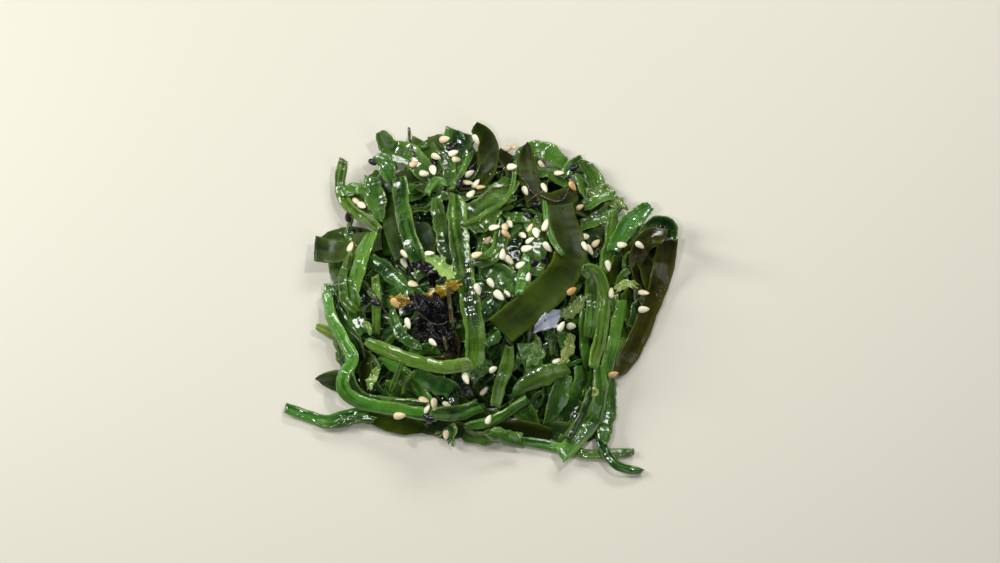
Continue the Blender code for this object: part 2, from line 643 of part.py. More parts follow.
def wood_ear_parts():
    """The shreds of the wood ear tuft: waved bands that all cross near the tuft's middle."""
    made = []
    for number, (width, seen) in enumerate(WOOD_EAR):
        line, length = smooth_line(plan_places(seen), STATION_STEP * 0.8)
        left = sideways(line)
        across = np.linspace(-1.0, 1.0, 3)
        share = np.linspace(0.0, 1.0, len(line))
        taper = 0.45 + 0.55 * np.sin(np.pi * share) ** 0.5
        roll = lean(line, left) + np.radians(WOOD_EAR_TWIST) * np.sin(4 * share + number * 1.7)
        out = across * 0.5 * width * taper[:, None]
        faces = []
        for side in (0.5, -0.5):
            up = side * WOOD_EAR_THICKNESS
            aside = out * np.cos(roll)[:, None] - up * np.sin(roll)[:, None]
            rise = out * np.sin(roll)[:, None] + up * np.cos(roll)[:, None]
            plan = line[:, None, :] + aside[..., None] * left[:, None, :]
            faces.append(np.concatenate([plan, rise[..., None]], axis=2))
        made.append(faces)
    return made


def seed_body(place, outward, turn):
    """Vertices and triangles of a sesame seed: a ball drawn out to a drop, flattened along
    outward, and turned about it."""
    outward = outward / np.linalg.norm(outward)
    along = np.array([math.cos(turn), math.sin(turn), 0.0])
    along -= outward * (along @ outward)
    along /= np.linalg.norm(along)
    aside = np.cross(outward, along)
    polar = np.linspace(0.0, math.pi, SEED_RINGS + 1)[1:-1]
    round_about = np.arange(SEED_SIDES) * 2 * math.pi / SEED_SIDES
    rows = [[[1.0, 0.0, 0.0]]]
    for angle in polar:
        narrow = math.sin(angle) * (1.0 - 0.18 * math.cos(angle))
        rows.append([[math.cos(angle), narrow * math.cos(a), narrow * math.sin(a)] for a in round_about])
    rows.append([[-1.0, 0.0, 0.0]])
    local = np.concatenate([np.array(row) for row in rows]) * SEED_RADII
    points = place + local @ np.stack([along, aside, outward])
    last = len(points) - 1
    faces = []
    for k in range(SEED_SIDES):
        after = (k + 1) % SEED_SIDES
        faces.append((0, 1 + after, 1 + k))
        faces.append((last, last - SEED_SIDES + k, last - SEED_SIDES + after))
        for ring in range(SEED_RINGS - 2):
            a = 1 + ring * SEED_SIDES + k
            b = 1 + ring * SEED_SIDES + after
            faces += [(a, b, b + SEED_SIDES), (a, b + SEED_SIDES, a + SEED_SIDES)]
    return points, np.array(faces)


def seed_place(across, up, turn, tops, relief):
    """Where a seed lies: on the topmost strip under the place that it is seen at, moved by the
    least that keeps it off every other strip. None where no such place is near."""
    plan = plan_places(((across, up),))[0]
    for ring in range(7):
        for step in range(max(1, 6 * ring)):
            angle = 2 * math.pi * step / max(1, 6 * ring)
            x, y = plan + 0.5 * ring * np.array([math.cos(angle), math.sin(angle)])
            cell = relief.cells(np.array(x), np.array(y))
            owner = int(relief.owner[cell])
            if owner not in tops:
                continue
            place, outward = nearest_top(tops[owner], x, y)
            points, _ = seed_body(place + SEED_RISE * outward, outward, turn)
            columns, rows = relief.cells(points[:, 0], points[:, 1])
            others = relief.owner[columns, rows] != owner
            if (others & (points[:, 2] < relief.spread[columns, rows] + 0.35)).any():
                continue
            return owner, place + SEED_RISE * outward, outward
    return None


def nearest_top(face, x, y):
    """The point of a face nearest in plan to x, y, and the face's upward normal there."""
    inner = face[1:-1, 1:-1]
    away = (inner[..., 0] - x) ** 2 + (inner[..., 1] - y) ** 2
    i, j = np.unravel_index(away.argmin(), away.shape)
    normal = np.cross(face[i + 2, j + 1] - face[i, j + 1], face[i + 1, j + 2] - face[i + 1, j])
    normal *= np.sign(normal[2]) or 1.0
    return face[i + 1, j + 1], normal / np.linalg.norm(normal)


def build():
    clear_scene()
    model = bpy.data.collections.new("wakame")
    bpy.context.scene.collection.children.link(model)
    relief = Relief()
    bodies = {}
    tops = {}

    core = core_object(model)
    lines_x, lines_y = np.meshgrid(np.arange(-50, 50, CELL), np.arange(-50, 50, CELL))
    ground = np.stack([lines_x, lines_y, core_height(lines_x, lines_y)], axis=2)
    relief.add(ground, 0)
    small = []
    for number, (line, width) in enumerate(inner_strips()):
        upper, lower = inner_sections(line, width)
        relief.add(filled(upper, 14, 6), 0)
        small.append(add_object(f"inner_{number}", *ridge(upper, lower), "packed_strips", model))
    join(core, small)
    bodies[0] = core

    count = {}
    for number, piece in enumerate(STRIPS, start=1):
        kind = piece["kind"]
        count[kind] = count.get(kind, 0) + 1
        (upper, lower), length = strip_sections(piece, number)
        levels = lay(piece, (upper, lower), relief)
        for face in (upper, lower):
            face[..., 2] += levels[:, None]
        name = f"{kind}_{count[kind]:02d}"
        bodies[number] = add_object(name, *loft(upper, lower), kind, model)
        dense = filled(upper, SAMPLES_ALONG + 2, 8)
        relief.add(dense, number)
        relief.add(filled(lower, SAMPLES_ALONG + 2, 8), number)
        tops[number] = dense

    number = len(STRIPS) + 1
    shreds = wood_ear_parts()
    level = max(
        (relief.under(fine[..., 0], fine[..., 1]) - fine[..., 2]).max()
        for fine in [filled(lower, SAMPLES_ALONG, 4) for _, lower in shreds]
    )
    parts = []
    for index, (upper, lower) in enumerate(shreds):
        for face in (upper, lower):
            face[..., 2] += level + AIR
        parts.append(add_object(f"shred_{index}", *loft(upper, lower), "wood_ear", model))
        relief.add(filled(upper, SAMPLES_ALONG, 6), number)
    parts[0].name = "wood_ear_shreds"
    join(parts[0], parts[1:])
    bodies[number] = parts[0]

    seeds = {}
    for across, up, degrees in SEEDS:
        turn = math.radians(degrees)
        found = seed_place(across, up, turn, tops, relief)
        if found is None:
            continue
        owner, place, outward = found
        points, faces = seed_body(place, outward, turn)
        relief.add(points, owner)
        name = f"seed_{len(seeds.get(owner, []))}_{owner}"
        material = bodies[owner].data.materials[0].name
        grain = add_object(name, points, faces, material, model)
        seeds.setdefault(owner, []).append(grain)
    for owner, grains in seeds.items():
        join(bodies[owner], grains)
    for body in bodies.values():
        body.data.shade_smooth()
        body.data.set_sharp_from_angle(angle=math.radians(50.0))


build()
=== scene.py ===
"""A serving of wakame in fine detail: wet cut seaweed, heaped loosely and dressed with sesame seeds.

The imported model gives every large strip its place. Each one is redrawn here as a thin wet blade or
a thick glossy midrib along the same line, at the height that its solid has. Over two hundred
finer strips fill the heap between them, and scraps, threads, seeds and drops lie on top.
Lengths are in millimetres up to the point where a mesh is made, which is in metres.
X is to the right, Y is away from the eater, Z is up.
"""

import math

import bpy
import numpy as np
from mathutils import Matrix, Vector
from mathutils.bvhtree import BVHTree


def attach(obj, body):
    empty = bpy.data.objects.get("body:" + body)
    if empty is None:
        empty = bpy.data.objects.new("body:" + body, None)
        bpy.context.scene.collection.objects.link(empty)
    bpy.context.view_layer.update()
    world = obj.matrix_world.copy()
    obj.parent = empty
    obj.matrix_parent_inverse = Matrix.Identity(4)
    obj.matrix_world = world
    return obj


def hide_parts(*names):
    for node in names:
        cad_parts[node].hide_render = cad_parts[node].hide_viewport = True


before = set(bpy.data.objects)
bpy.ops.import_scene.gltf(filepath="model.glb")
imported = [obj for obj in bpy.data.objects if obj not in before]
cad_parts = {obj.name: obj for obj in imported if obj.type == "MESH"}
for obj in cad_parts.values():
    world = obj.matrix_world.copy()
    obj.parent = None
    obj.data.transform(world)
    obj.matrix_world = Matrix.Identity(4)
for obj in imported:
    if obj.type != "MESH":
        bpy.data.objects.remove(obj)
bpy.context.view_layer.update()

MM = 0.001

# Where things are seen: this far over the table, across to the right and up the field of view
SIGHT_ANGLE = math.radians(76.0)
SIGHT_UP = math.sin(SIGHT_ANGLE)
SIGHT_RISE = math.cos(SIGHT_ANGLE)

# Down to the dome a line of sight is followed in this many rounds. Down to the relief it starts at
# this height and goes down by this step
SIGHT_ROUNDS = 12
SIGHT_TOP = 40.0
SIGHT_STEP = 0.1

# The photograph's frame: its width and height, the pixels to a millimetre, and the pixel where the
# middle of the heap's foot is seen
IMAGE_WIDTH, IMAGE_HEIGHT = 1000, 563
PIXELS_PER_MM = 4.0
FOOT_PIXEL = (482.0, 300.0)

# The camera: how far it stands from what it looks at, and its sensor's width
CAMERA_DISTANCE = 1500.0
SENSOR_WIDTH = 36.0

# The lights: each one's name, place, size and power, and the place that all of them face, in metres
LIGHTS = (
    ("key_light", (-0.32, 0.10, 0.28), (0.08, 0.24), 1.42),
    ("back_light", (0.14, 0.36, 0.32), (0.26, 0.08), 1.15),
    ("fill_light", (0.28, -0.26, 0.42), (0.30, 0.30), 0.35),
    ("right_lamp", (0.13, 0.10, 0.42), (0.025, 0.025), 0.55),
    ("front_lamp", (-0.06, -0.10, 0.45), (0.025, 0.025), 0.45),
)
LIGHT_TARGET = (0.0, 0.0, 0.012)
SURROUND_COLOUR = (0.9, 0.95, 1.0, 1.0)
SURROUND_STRENGTH = 0.06
FLOOR_COLOUR = (0.585, 0.565, 0.47, 1.0)
FLOOR_ROUGHNESS = 0.55
FLOOR_SIZE = 3.0

# The heap's dome, which the strips lean to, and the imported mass's dome under them. A strip leans by
# a share of the dome's slope, measured over a reach to each side, and never by more than the most
HEAP_HALF_LENGTH, HEAP_HALF_WIDTH, HEAP_HEIGHT = 44.0, 39.0, 28.0
CORE_HALF_LENGTH, CORE_HALF_WIDTH, CORE_HEIGHT = 34.0, 30.0, 19.0
DOME_POWER = 2.4
LEAN_SHARE = 0.75
LEAN_MOST = math.radians(42.0)
LEAN_REACH = 3.0

# Strips are drawn with a station at every such step along them, and the curve through their places
# with this many steps from one place to the next
FINE_STEP = 0.42
INNER_STEP = 0.75
CURVE_STEPS = 24

# Irregular waves: each sine's length and weight as a share of the one before, the spread of the
# lengths, and how far the sum is swelled
WAVE_SHORTER = 0.58
WAVE_WEAKER = 0.62
WAVE_SPREAD = (0.85, 1.2)
WAVE_SWELL = 1.5

# The seeds that each group's waves are drawn from, and how far apart two of its strips' seeds are
TRACED_APART = 100
INNER_WAVES, LOOSE_WAVES, UNDER_WAVES, WAVES_APART = 10000, 40000, 60000, 20
INNER_BENDS, INNER_ROLLS = 5000, 7000
EAR_FIRST = 900

# A strip's ends: how far in they are ragged, the length of the ragged waves, the half width up to
# which their slant grows, and how far they swell out past the last cut as a share of the thickness
END_REACH = 3.0
RAGGED_LENGTH = 2.6
SLANT_HALF_MOST = 1.7
END_SWELL = 0.3

# A strip's face: how much of a wave its pleats take up over half the width, how far and over what
# length they wander, and their own length. Its thickness swings about a mean, over a length. Its
# tone is off by up to so many small steps of its own
PLEAT_SPREAD, PLEAT_WANDER, PLEAT_WANDER_LENGTH, PLEAT_LENGTH = 3.4, 0.5, 24.0, 3.6
THICK_MEAN, THICK_SWING, THICK_LENGTH = 0.8, 0.2, 9.0
TONE_STEP, TONE_STEPS = 0.0005, 101

# The grid on which the heap's relief is kept, and the lowest that any point may be
CELL = 0.3
FIELD_HALF = (62.0, 58.0)
LOWEST = 0.02

# How strips settle: the air over the bed, under the roof and over the floor, how limp the inner and
# the loose ones are, how many times each kind sags, and over how many stations they are smoothed
BED_AIR, ROOF_AIR, FLOOR_AIR = 0.08, 0.25, 0.15
INNER_LIMP, LOOSE_LIMP = 0.010, 0.02
INNER_SAGS, LOOSE_SAGS = 260, 120
TRACED_SMOOTH, LOOSE_SMOOTH, LIGHT_SMOOTH = 8, 4, 2

# A loose strip leans by this share of what a traced one does, and its middle is this share of its
# thickness over its bed
LOOSE_LEAN, LOOSE_PRESS = 0.7, 0.35

# Green strips wider than this are smooth leaf
LEAF_WIDTH = 5.2

# Thickness of the solids' strips at their middle, by kind, and the height in metres that rays are
# cast up from to find their undersides
SOLID_THICKNESS = {
    "midrib_strip": 1.7, "green_strip": 0.9, "olive_leaf": 0.75, "pale_scrap": 0.9, "amber_scrap": 0.9,
}
RAYS_FROM = -0.01

# How each kind of strip is made: thickness, points across, how boxy its cut is (2 is an oval, more
# is flatter), the swing of its edges up and down, of its whole cut, of its outline in and out, of
# the lengthwise pleats in its face, the lengths of the first three waves, and how ragged its ends are
STYLE_PARTS = (
    "thick", "points", "boxy", "frill", "sway", "notch", "pleat", "frill_length", "sway_length",
    "notch_length", "ragged",
)
STYLES = {
    "midrib_strip": (1.6, 15, 2.6, 0.14, 0.10, 0.08, 0.13, 12.0, 24.0, 9.0, 0.12),
    "calm_midrib": (1.6, 13, 2.4, 0.05, 0.08, 0.05, 0.03, 14.0, 24.0, 11.0, 0.10),
    "green_strip": (0.6, 11, 6.0, 0.40, 0.22, 0.12, 0.07, 7.5, 12.0, 6.0, 0.22),
    "olive_leaf": (0.55, 17, 9.0, 0.22, 0.22, 0.03, 0.03, 15.0, 22.0, 11.0, 0.06),
    "green_leaf": (0.55, 15, 8.0, 0.30, 0.20, 0.06, 0.03, 10.0, 16.0, 8.0, 0.05),
    "pale_scrap": (0.5, 13, 6.0, 0.55, 0.30, 0.24, 0.12, 4.0, 5.0, 3.4, 0.7),
    "amber_scrap": (0.5, 11, 6.0, 0.7, 0.35, 0.42, 0.18, 3.4, 4.0, 2.2, 1.2),
    "wood_ear": (0.6, 11, 4.0, 0.50, 0.35, 0.20, 0.16, 3.8, 4.6, 3.2, 0.4),
    "brown_leaf": (0.6, 13, 6.0, 0.30, 0.25, 0.08, 0.06, 9.0, 12.0, 6.0, 0.2),
    "dark_leaf": (0.55, 13, 8.0, 0.30, 0.22, 0.05, 0.03, 11.0, 16.0, 8.0, 0.15),
    "grey_scrap": (0.5, 15, 6.0, 0.35, 0.15, 0.10, 0.06, 5.0, 6.0, 3.0, 1.1),
    "thread": (0.32, 5, 2.0, 0.0, 0.2, 0.15, 0.0, 5.0, 6.0, 5.0, 0.1),
    "inner_leaf": (0.55, 9, 8.0, 0.45, 0.30, 0.08, 0.05, 9.0, 12.0, 7.0, 0.2),
    "inner_blade": (0.6, 7, 6.0, 0.5, 0.35, 0.16, 0.10, 6.5, 9.0, 5.5, 0.25),
    "inner_midrib": (1.5, 7, 2.6, 0.05, 0.22, 0.08, 0.06, 9.0, 13.0, 7.0, 0.15),
}
STYLES = {kind: dict(zip(STYLE_PARTS, values)) for kind, values in STYLES.items()}


def usual_cut(kind, width):
    """The style of a strip's cut: its kind's, or smooth leaf's for a wide green strip."""
    return "green_leaf" if kind == "green_strip" and width > LEAF_WIDTH else kind


def traced(
    name, width, seen, tone=0.5, roll=(0.0, 0.0), curl=0.0, ends=(0.6, 0.6), skin=None, cut=None,
    rise=0.0,
):
    """A strip that has its own solid: the solid's name, the strip's width, the places that its
    centreline is seen at, how bright its green is, its roll at its start and end in degrees, how
    far its edges curl up, as a share of its half width, its ends' widths, its skin and its cut
    where they aren't its kind's, and how far its end springs up from what it lies on."""
    kind = name[:-3]
    return dict(
        name=name, kind=kind, width=width, seen=seen, tone=tone, roll=roll, curl=curl, ends=ends,
        skin=skin or kind, cut=cut or usual_cut(kind, width), rise=rise,
    )


# The traced strips, from the lowest to the topmost, as in the solids
TRACED = (
    traced(
        "midrib_strip_01", 2.9, tone=0.62, skin="calm_midrib", cut="calm_midrib", ends=(0.9, 0.9),
        seen=((-48.5, -27.2), (-43.5, -29.0), (-38.5, -30.2), (-33.5, -29.0), (-28.0, -27.5)),
    ),
    traced("olive_leaf_01", skin="dark_leaf", width=7.0, tone=0.25, roll=(0, 10), ends=(0.1, 1.0), seen=(
        (-41.0, -20.2), (-37.5, -20.4), (-33.0, -20.6),
    )),
    traced("olive_leaf_02", 4.5, tone=0.4, seen=(
        (-28.0, -29.6), (-21.0, -31.2), (-14.0, -31.0),
    )),
    traced("midrib_strip_02", 2.6, tone=0.62, ends=(0.8, 0.8), seen=(
        (4.0, -33.4), (12.0, -35.2), (20.0, -37.0),
    )),
    traced("midrib_strip_03", 2.4, tone=0.5, ends=(0.8, 0.7), seen=(
        (21.5, -37.6), (28.0, -38.6), (33.0, -38.2), (37.3, -38.0),
    )),
    traced(
        "midrib_strip_04", 2.4, tone=0.10, skin="calm_midrib", cut="calm_midrib", ends=(0.9, 0.6),
        seen=((28.5, -31.5), (30.2, -37.5), (33.5, -41.6), (39.3, -42.8)),
    ),
    traced("green_strip_01", 4.0, tone=0.5, curl=0.3, seen=(
        (-6.0, -30.4), (-1.0, -33.0), (4.5, -32.6),
    )),
    traced("green_strip_02", 4.6, tone=0.55, curl=-0.4, ends=(0.7, 0.9), seen=(
        (2.0, -33.0), (6.0, -34.8), (9.8, -36.0),
    )),
    traced("olive_leaf_03", skin="dark_leaf", width=7.6, tone=0.22, curl=0.1, ends=(0.9, 0.8), seen=(
        (-41.8, 11.5), (-36.5, 13.0), (-31.0, 15.5), (-25.0, 17.0),
    )),
    traced("green_strip_03", 7.0, tone=0.3, curl=-0.2, ends=(1.0, 0.8), seen=(
        (-6.0, 41.4), (-6.4, 38.0), (-7.4, 33.0),
    )),
    traced("olive_leaf_04", 5.4, tone=0.3, roll=(-15, 25), curl=0.2, seen=(
        (-2.0, 41.0), (1.1, 38.2), (1.4, 34.4), (-1.3, 30.4),
    )),
    traced("green_strip_04", 4.6, tone=0.6, roll=(15, 20), curl=0.2, seen=(
        (8.5, 36.0), (14.5, 37.0), (21.2, 33.6),
    )),
    traced("green_strip_05", 6.0, tone=0.4, curl=-0.2, seen=(
        (12.0, 32.6), (17.0, 32.8), (22.0, 30.0),
    )),
    traced("olive_leaf_05", 5.4, tone=0.1, roll=(-10, 25), ends=(0.3, 0.9), seen=(
        (10.8, 36.8), (11.6, 32.0), (13.5, 26.0),
    )),
    traced("green_strip_06", 6.0, tone=0.5, roll=(-10, 20), curl=0.2, ends=(0.4, 0.8), seen=(
        (-25.8, 40.6), (-22.8, 36.8), (-18.0, 35.4), (-13.2, 32.6),
    )),
    traced("green_strip_07", 5.2, tone=0.6, curl=0.3, ends=(0.3, 0.8), seen=(
        (25.2, 33.4), (27.8, 29.6), (28.2, 24.2),
    )),
    traced("green_strip_08", 5.0, tone=0.1, roll=(10, 30), curl=0.3, seen=(
        (39.8, 14.0), (43.0, 17.6), (46.8, 16.8), (47.4, 12.6),
    )),
    traced("green_strip_09", 4.2, tone=0.7, curl=0.3, seen=(
        (24.5, 21.0), (30.0, 21.8), (35.3, 23.8),
    )),
    traced(
        "olive_leaf_06", 5.6, tone=0.3, roll=(-10, 15), curl=0.1, ends=(0.9, 0.25), skin="brown_leaf",
        seen=((46.3, 13.0), (45.0, 6.0), (42.2, -1.0), (39.0, -8.5), (33.8, -17.6)),
    ),
    traced(
        "olive_leaf_07", 4.8, tone=0.25, roll=(10, -20), curl=0.2, ends=(0.8, 0.7), skin="brown_leaf",
        seen=((45.6, 12.4), (41.2, 12.8), (38.2, 9.5), (39.4, 4.0)),
    ),
    traced("pale_scrap_01", 3.2, tone=0.5, cut="green_leaf", ends=(0.5, 0.9), seen=(
        (-41.2, -6.6), (-38.0, -7.0), (-34.0, -8.8),
    )),
    traced("olive_leaf_08", 6.4, tone=0.15, roll=(0, 10), seen=(
        (14.0, 26.8), (18.5, 25.6), (23.4, 27.4),
    )),
    traced("green_strip_10", 6.6, tone=0.3, curl=0.1, ends=(0.7, 0.6), seen=(
        (7.5, 31.0), (3.2, 27.0), (-0.6, 23.8), (-3.8, 18.6),
    )),
    traced("green_strip_11", 5.2, tone=0.5, roll=(0, 10), curl=-0.2, seen=(
        (15.0, 22.5), (13.8, 15.5), (13.0, 7.5),
    )),
    traced("green_strip_12", 6.2, tone=0.3, roll=(-8, 8), seen=(
        (0.5, 10.0), (5.5, 7.2), (9.8, 2.6),
    )),
    traced("green_strip_13", 5.2, tone=0.45, curl=-0.3, seen=(
        (-2.0, -3.8), (1.6, -0.8), (4.8, 3.0),
    )),
    traced("midrib_strip_05", 4.2, tone=0.7, seen=(
        (32.6, 21.4), (32.2, 16.0), (30.2, 9.5),
    )),
    traced("green_strip_14", 4.8, tone=0.75, curl=0.3, ends=(0.6, 0.6), seen=(
        (32.4, 13.4), (36.8, 18.0), (42.0, 20.8),
    )),
    traced("green_strip_15", 4.2, tone=0.5, roll=(10, 0), curl=-0.2, seen=(
        (32.0, -18.6), (31.8, -25.0), (30.8, -31.0), (29.8, -36.2),
    )),
    traced("midrib_strip_06", 4.0, tone=0.7, ends=(0.7, 0.7), seen=(
        (34.8, 1.4), (33.6, -5.0), (32.2, -11.0), (30.6, -18.0), (29.4, -24.5),
    )),
    traced("green_strip_16", 5.6, tone=0.45, roll=(-20, 10), curl=-0.2, ends=(0.7, 0.2), seen=(
        (24.8, -14.2), (23.8, -22.0), (20.6, -27.6), (16.2, -31.4),
    )),
    traced("green_strip_17", 6.0, tone=0.25, roll=(0, -12), curl=0.3, ends=(0.6, 0.2), seen=(
        (20.4, -16.6), (18.6, -23.0), (15.6, -30.2),
    )),
    traced("green_strip_18", 6.2, tone=0.62, roll=(0, 15), curl=0.2, ends=(0.7, 0.1), seen=(
        (8.2, -21.4), (11.4, -26.8), (14.6, -31.4),
    )),
    traced("green_strip_19", 5.6, tone=0.62, roll=(10, -10), curl=-0.3, ends=(0.6, 0.3), seen=(
        (21.4, -15.4), (14.5, -17.6), (7.6, -21.8),
    )),
    # Its very low tone is painted shade on the shadowed side of the strips here
    traced("midrib_strip_07", 3.0, rise=0.6, tone=0.05, ends=(0.7, 0.9), seen=(
        (26.8, -24.0), (25.0, -29.0), (21.4, -34.6),
    )),
    traced("midrib_strip_08", 4.3, tone=0.55, ends=(0.6, 1.0), seen=(
        (29.2, -16.0), (29.4, -22.0), (28.6, -28.0), (25.8, -33.2), (19.6, -39.2),
    )),
    traced("midrib_strip_09", 2.8, tone=0.5, ends=(0.6, 0.6), seen=(
        (10.8, -23.4), (6.6, -26.6), (2.0, -29.0), (-4.0, -30.6),
    )),
    traced("pale_scrap_02", 6.4, tone=0.45, ends=(1.0, 0.3), seen=(
        (-11.6, -29.2), (-8.4, -31.6), (-8.2, -35.2),
    )),
    traced("midrib_strip_10", 3.6, tone=0.62, ends=(0.7, 0.7), seen=(
        (-24.5, -12.2), (-19.0, -16.0), (-15.0, -20.6), (-11.2, -27.2),
    )),
    traced("green_strip_20", 5.0, tone=0.5, curl=0.2, ends=(0.7, 1.0), seen=(
        (-16.4, -16.6), (-11.5, -18.6), (-7.2, -20.0),
    )),
    traced("midrib_strip_11", 2.6, tone=0.5, ends=(0.7, 0.7), seen=(
        (-32.6, -19.0), (-30.6, -23.6), (-25.0, -24.4), (-18.0, -24.4), (-12.5, -25.6),
    )),
    traced("green_strip_21", 3.8, tone=0.3, roll=(-10, 0), seen=(
        (-38.4, 5.2), (-36.4, -1.0), (-32.8, -6.2), (-29.6, -12.5),
    )),
    traced("midrib_strip_12", 3.7, tone=0.8, ends=(0.7, 0.8), seen=(
        (-38.8, 2.6), (-37.4, -3.6), (-34.4, -9.2), (-32.0, -14.6), (-34.2, -20.0), (-34.2, -24.0),
        (-30.4, -26.8), (-24.0, -27.0), (-17.0, -27.8), (-12.0, -28.6),
    )),
    traced("midrib_strip_13", 4.2, tone=0.72, ends=(0.7, 0.9), seen=(
        (-12.4, -28.8), (-6.0, -27.0), (-0.6, -24.2),
    )),
    traced("olive_leaf_09", skin="dark_leaf", width=4.2, tone=0.3, roll=(0, -18), ends=(0.5, 0.8), seen=(
        (-25.0, 31.6), (-23.6, 25.0), (-22.2, 19.0), (-20.0, 12.5),
    )),
    traced("midrib_strip_14", 4.3, tone=0.3, ends=(0.9, 0.7), seen=(
        (-20.6, 29.8), (-19.8, 24.0), (-18.0, 17.0), (-14.8, 8.6),
    )),
    traced("green_strip_22", 4.2, tone=0.45, roll=(0, 10), curl=-0.3, seen=(
        (-28.2, 12.2), (-24.6, 9.8), (-21.0, 6.6), (-17.6, 2.0),
    )),
    traced("midrib_strip_15", 4.6, tone=0.68, ends=(0.7, 0.6), seen=(
        (-27.6, 17.4), (-29.8, 12.0), (-31.4, 6.0), (-33.4, 0.4),
    )),
    traced("midrib_strip_16", 2.8, tone=0.6, ends=(0.8, 0.8), seen=(
        (-34.8, 33.6), (-35.6, 29.0), (-35.0, 25.0), (-32.0, 22.2), (-28.6, 20.8), (-25.6, 18.6),
    )),
    traced("green_strip_23", 3.6, tone=0.4, roll=(0, -15), curl=0.2, seen=(
        (-11.5, 26.6), (-10.0, 19.4), (-8.6, 12.0), (-6.4, 4.0),
    )),
    traced("midrib_strip_17", 5.0, tone=0.52, ends=(0.6, 0.6), seen=(
        (-6.4, 26.4), (-5.8, 18.0), (-4.8, 10.0), (-3.2, 2.0), (-1.8, -6.0), (-1.6, -12.0),
        (-3.0, -18.4),
    )),
    traced("midrib_strip_18", 3.8, tone=0.55, ends=(0.6, 0.7), seen=(
        (4.8, 19.2), (4.2, 14.2), (1.4, 11.2), (-2.4, 10.2),
    )),
    traced("midrib_strip_19", 3.5, tone=0.98, rise=1.6, ends=(0.6, 1.0), seen=(
        (-28.4, -8.8), (-23.0, -11.0), (-18.0, -13.0), (-12.0, -15.0), (-7.0, -15.7), (-2.6, -15.6),
    )),
    traced("amber_scrap_01", 3.2, tone=0.5, roll=(0, 20), ends=(0.3, 0.6), seen=(
        (-22.2, 1.2), (-16.0, 0.9), (-11.0, 2.6), (-5.6, 4.6),
    )),
    traced("midrib_strip_20", 3.8, tone=0.6, ends=(0.8, 0.7), seen=(
        (23.2, 8.8), (28.0, 8.8), (30.4, 3.6), (30.0, -3.0), (29.2, -9.0), (27.4, -16.6),
    )),
    traced("midrib_strip_21", 3.4, tone=0.7, ends=(0.7, 0.7), seen=(
        (6.8, -9.8), (6.2, -14.5), (4.6, -19.0), (3.4, -25.2),
    )),
    traced("olive_leaf_10", 8.4, tone=0.45, roll=(10, -12), curl=0.1, ends=(0.8, 1.0), seen=(
        (19.2, 24.0), (20.6, 18.5), (21.8, 12.2), (18.6, 5.4), (11.8, -0.6), (4.4, -6.2),
    )),
)

# The wood ear tuft's shreds: each one's width and the places that it is seen at
WOOD_EAR = (
    (2.4, ((-18.5, -3.4), (-13.5, -3.0), (-8.2, -5.6))),
    (2.2, ((-15.8, 1.0), (-13.2, -4.0), (-13.4, -9.8))),
    (1.7, ((-8.6, 0.4), (-11.5, -3.5), (-16.6, -6.6))),
    (1.8, ((-7.0, -10.0), (-10.6, -6.2), (-12.0, 0.4))),
    (1.6, ((-16.8, -9.4), (-12.0, -6.4), (-7.2, -1.6))),
    (1.5, ((-17.5, 0.5), (-15.4, -2.6), (-10.0, -2.4))),
    (1.4, ((-11.6, 1.4), (-9.6, -2.0), (-9.0, -8.8))),
    (1.6, ((-16.4, -5.6), (-13.0, -8.4), (-8.6, -8.0))),
    (1.3, ((-14.2, 0.8), (-11.0, -1.4), (-7.4, -4.2))),
    (1.3, ((-17.6, -7.4), (-14.6, -4.6), (-12.4, -1.2))),
)


def small(kind, width, seen, tone=0.5, lift=0.0, roll=0.0, curl=0.0, ends=(0.6, 0.6)):
    """A smaller strip or scrap that lies on the heap and has no solid of its own."""
    return dict(
        kind=kind, width=width, seen=seen, tone=tone, lift=lift, roll=roll, curl=curl, ends=ends
    )


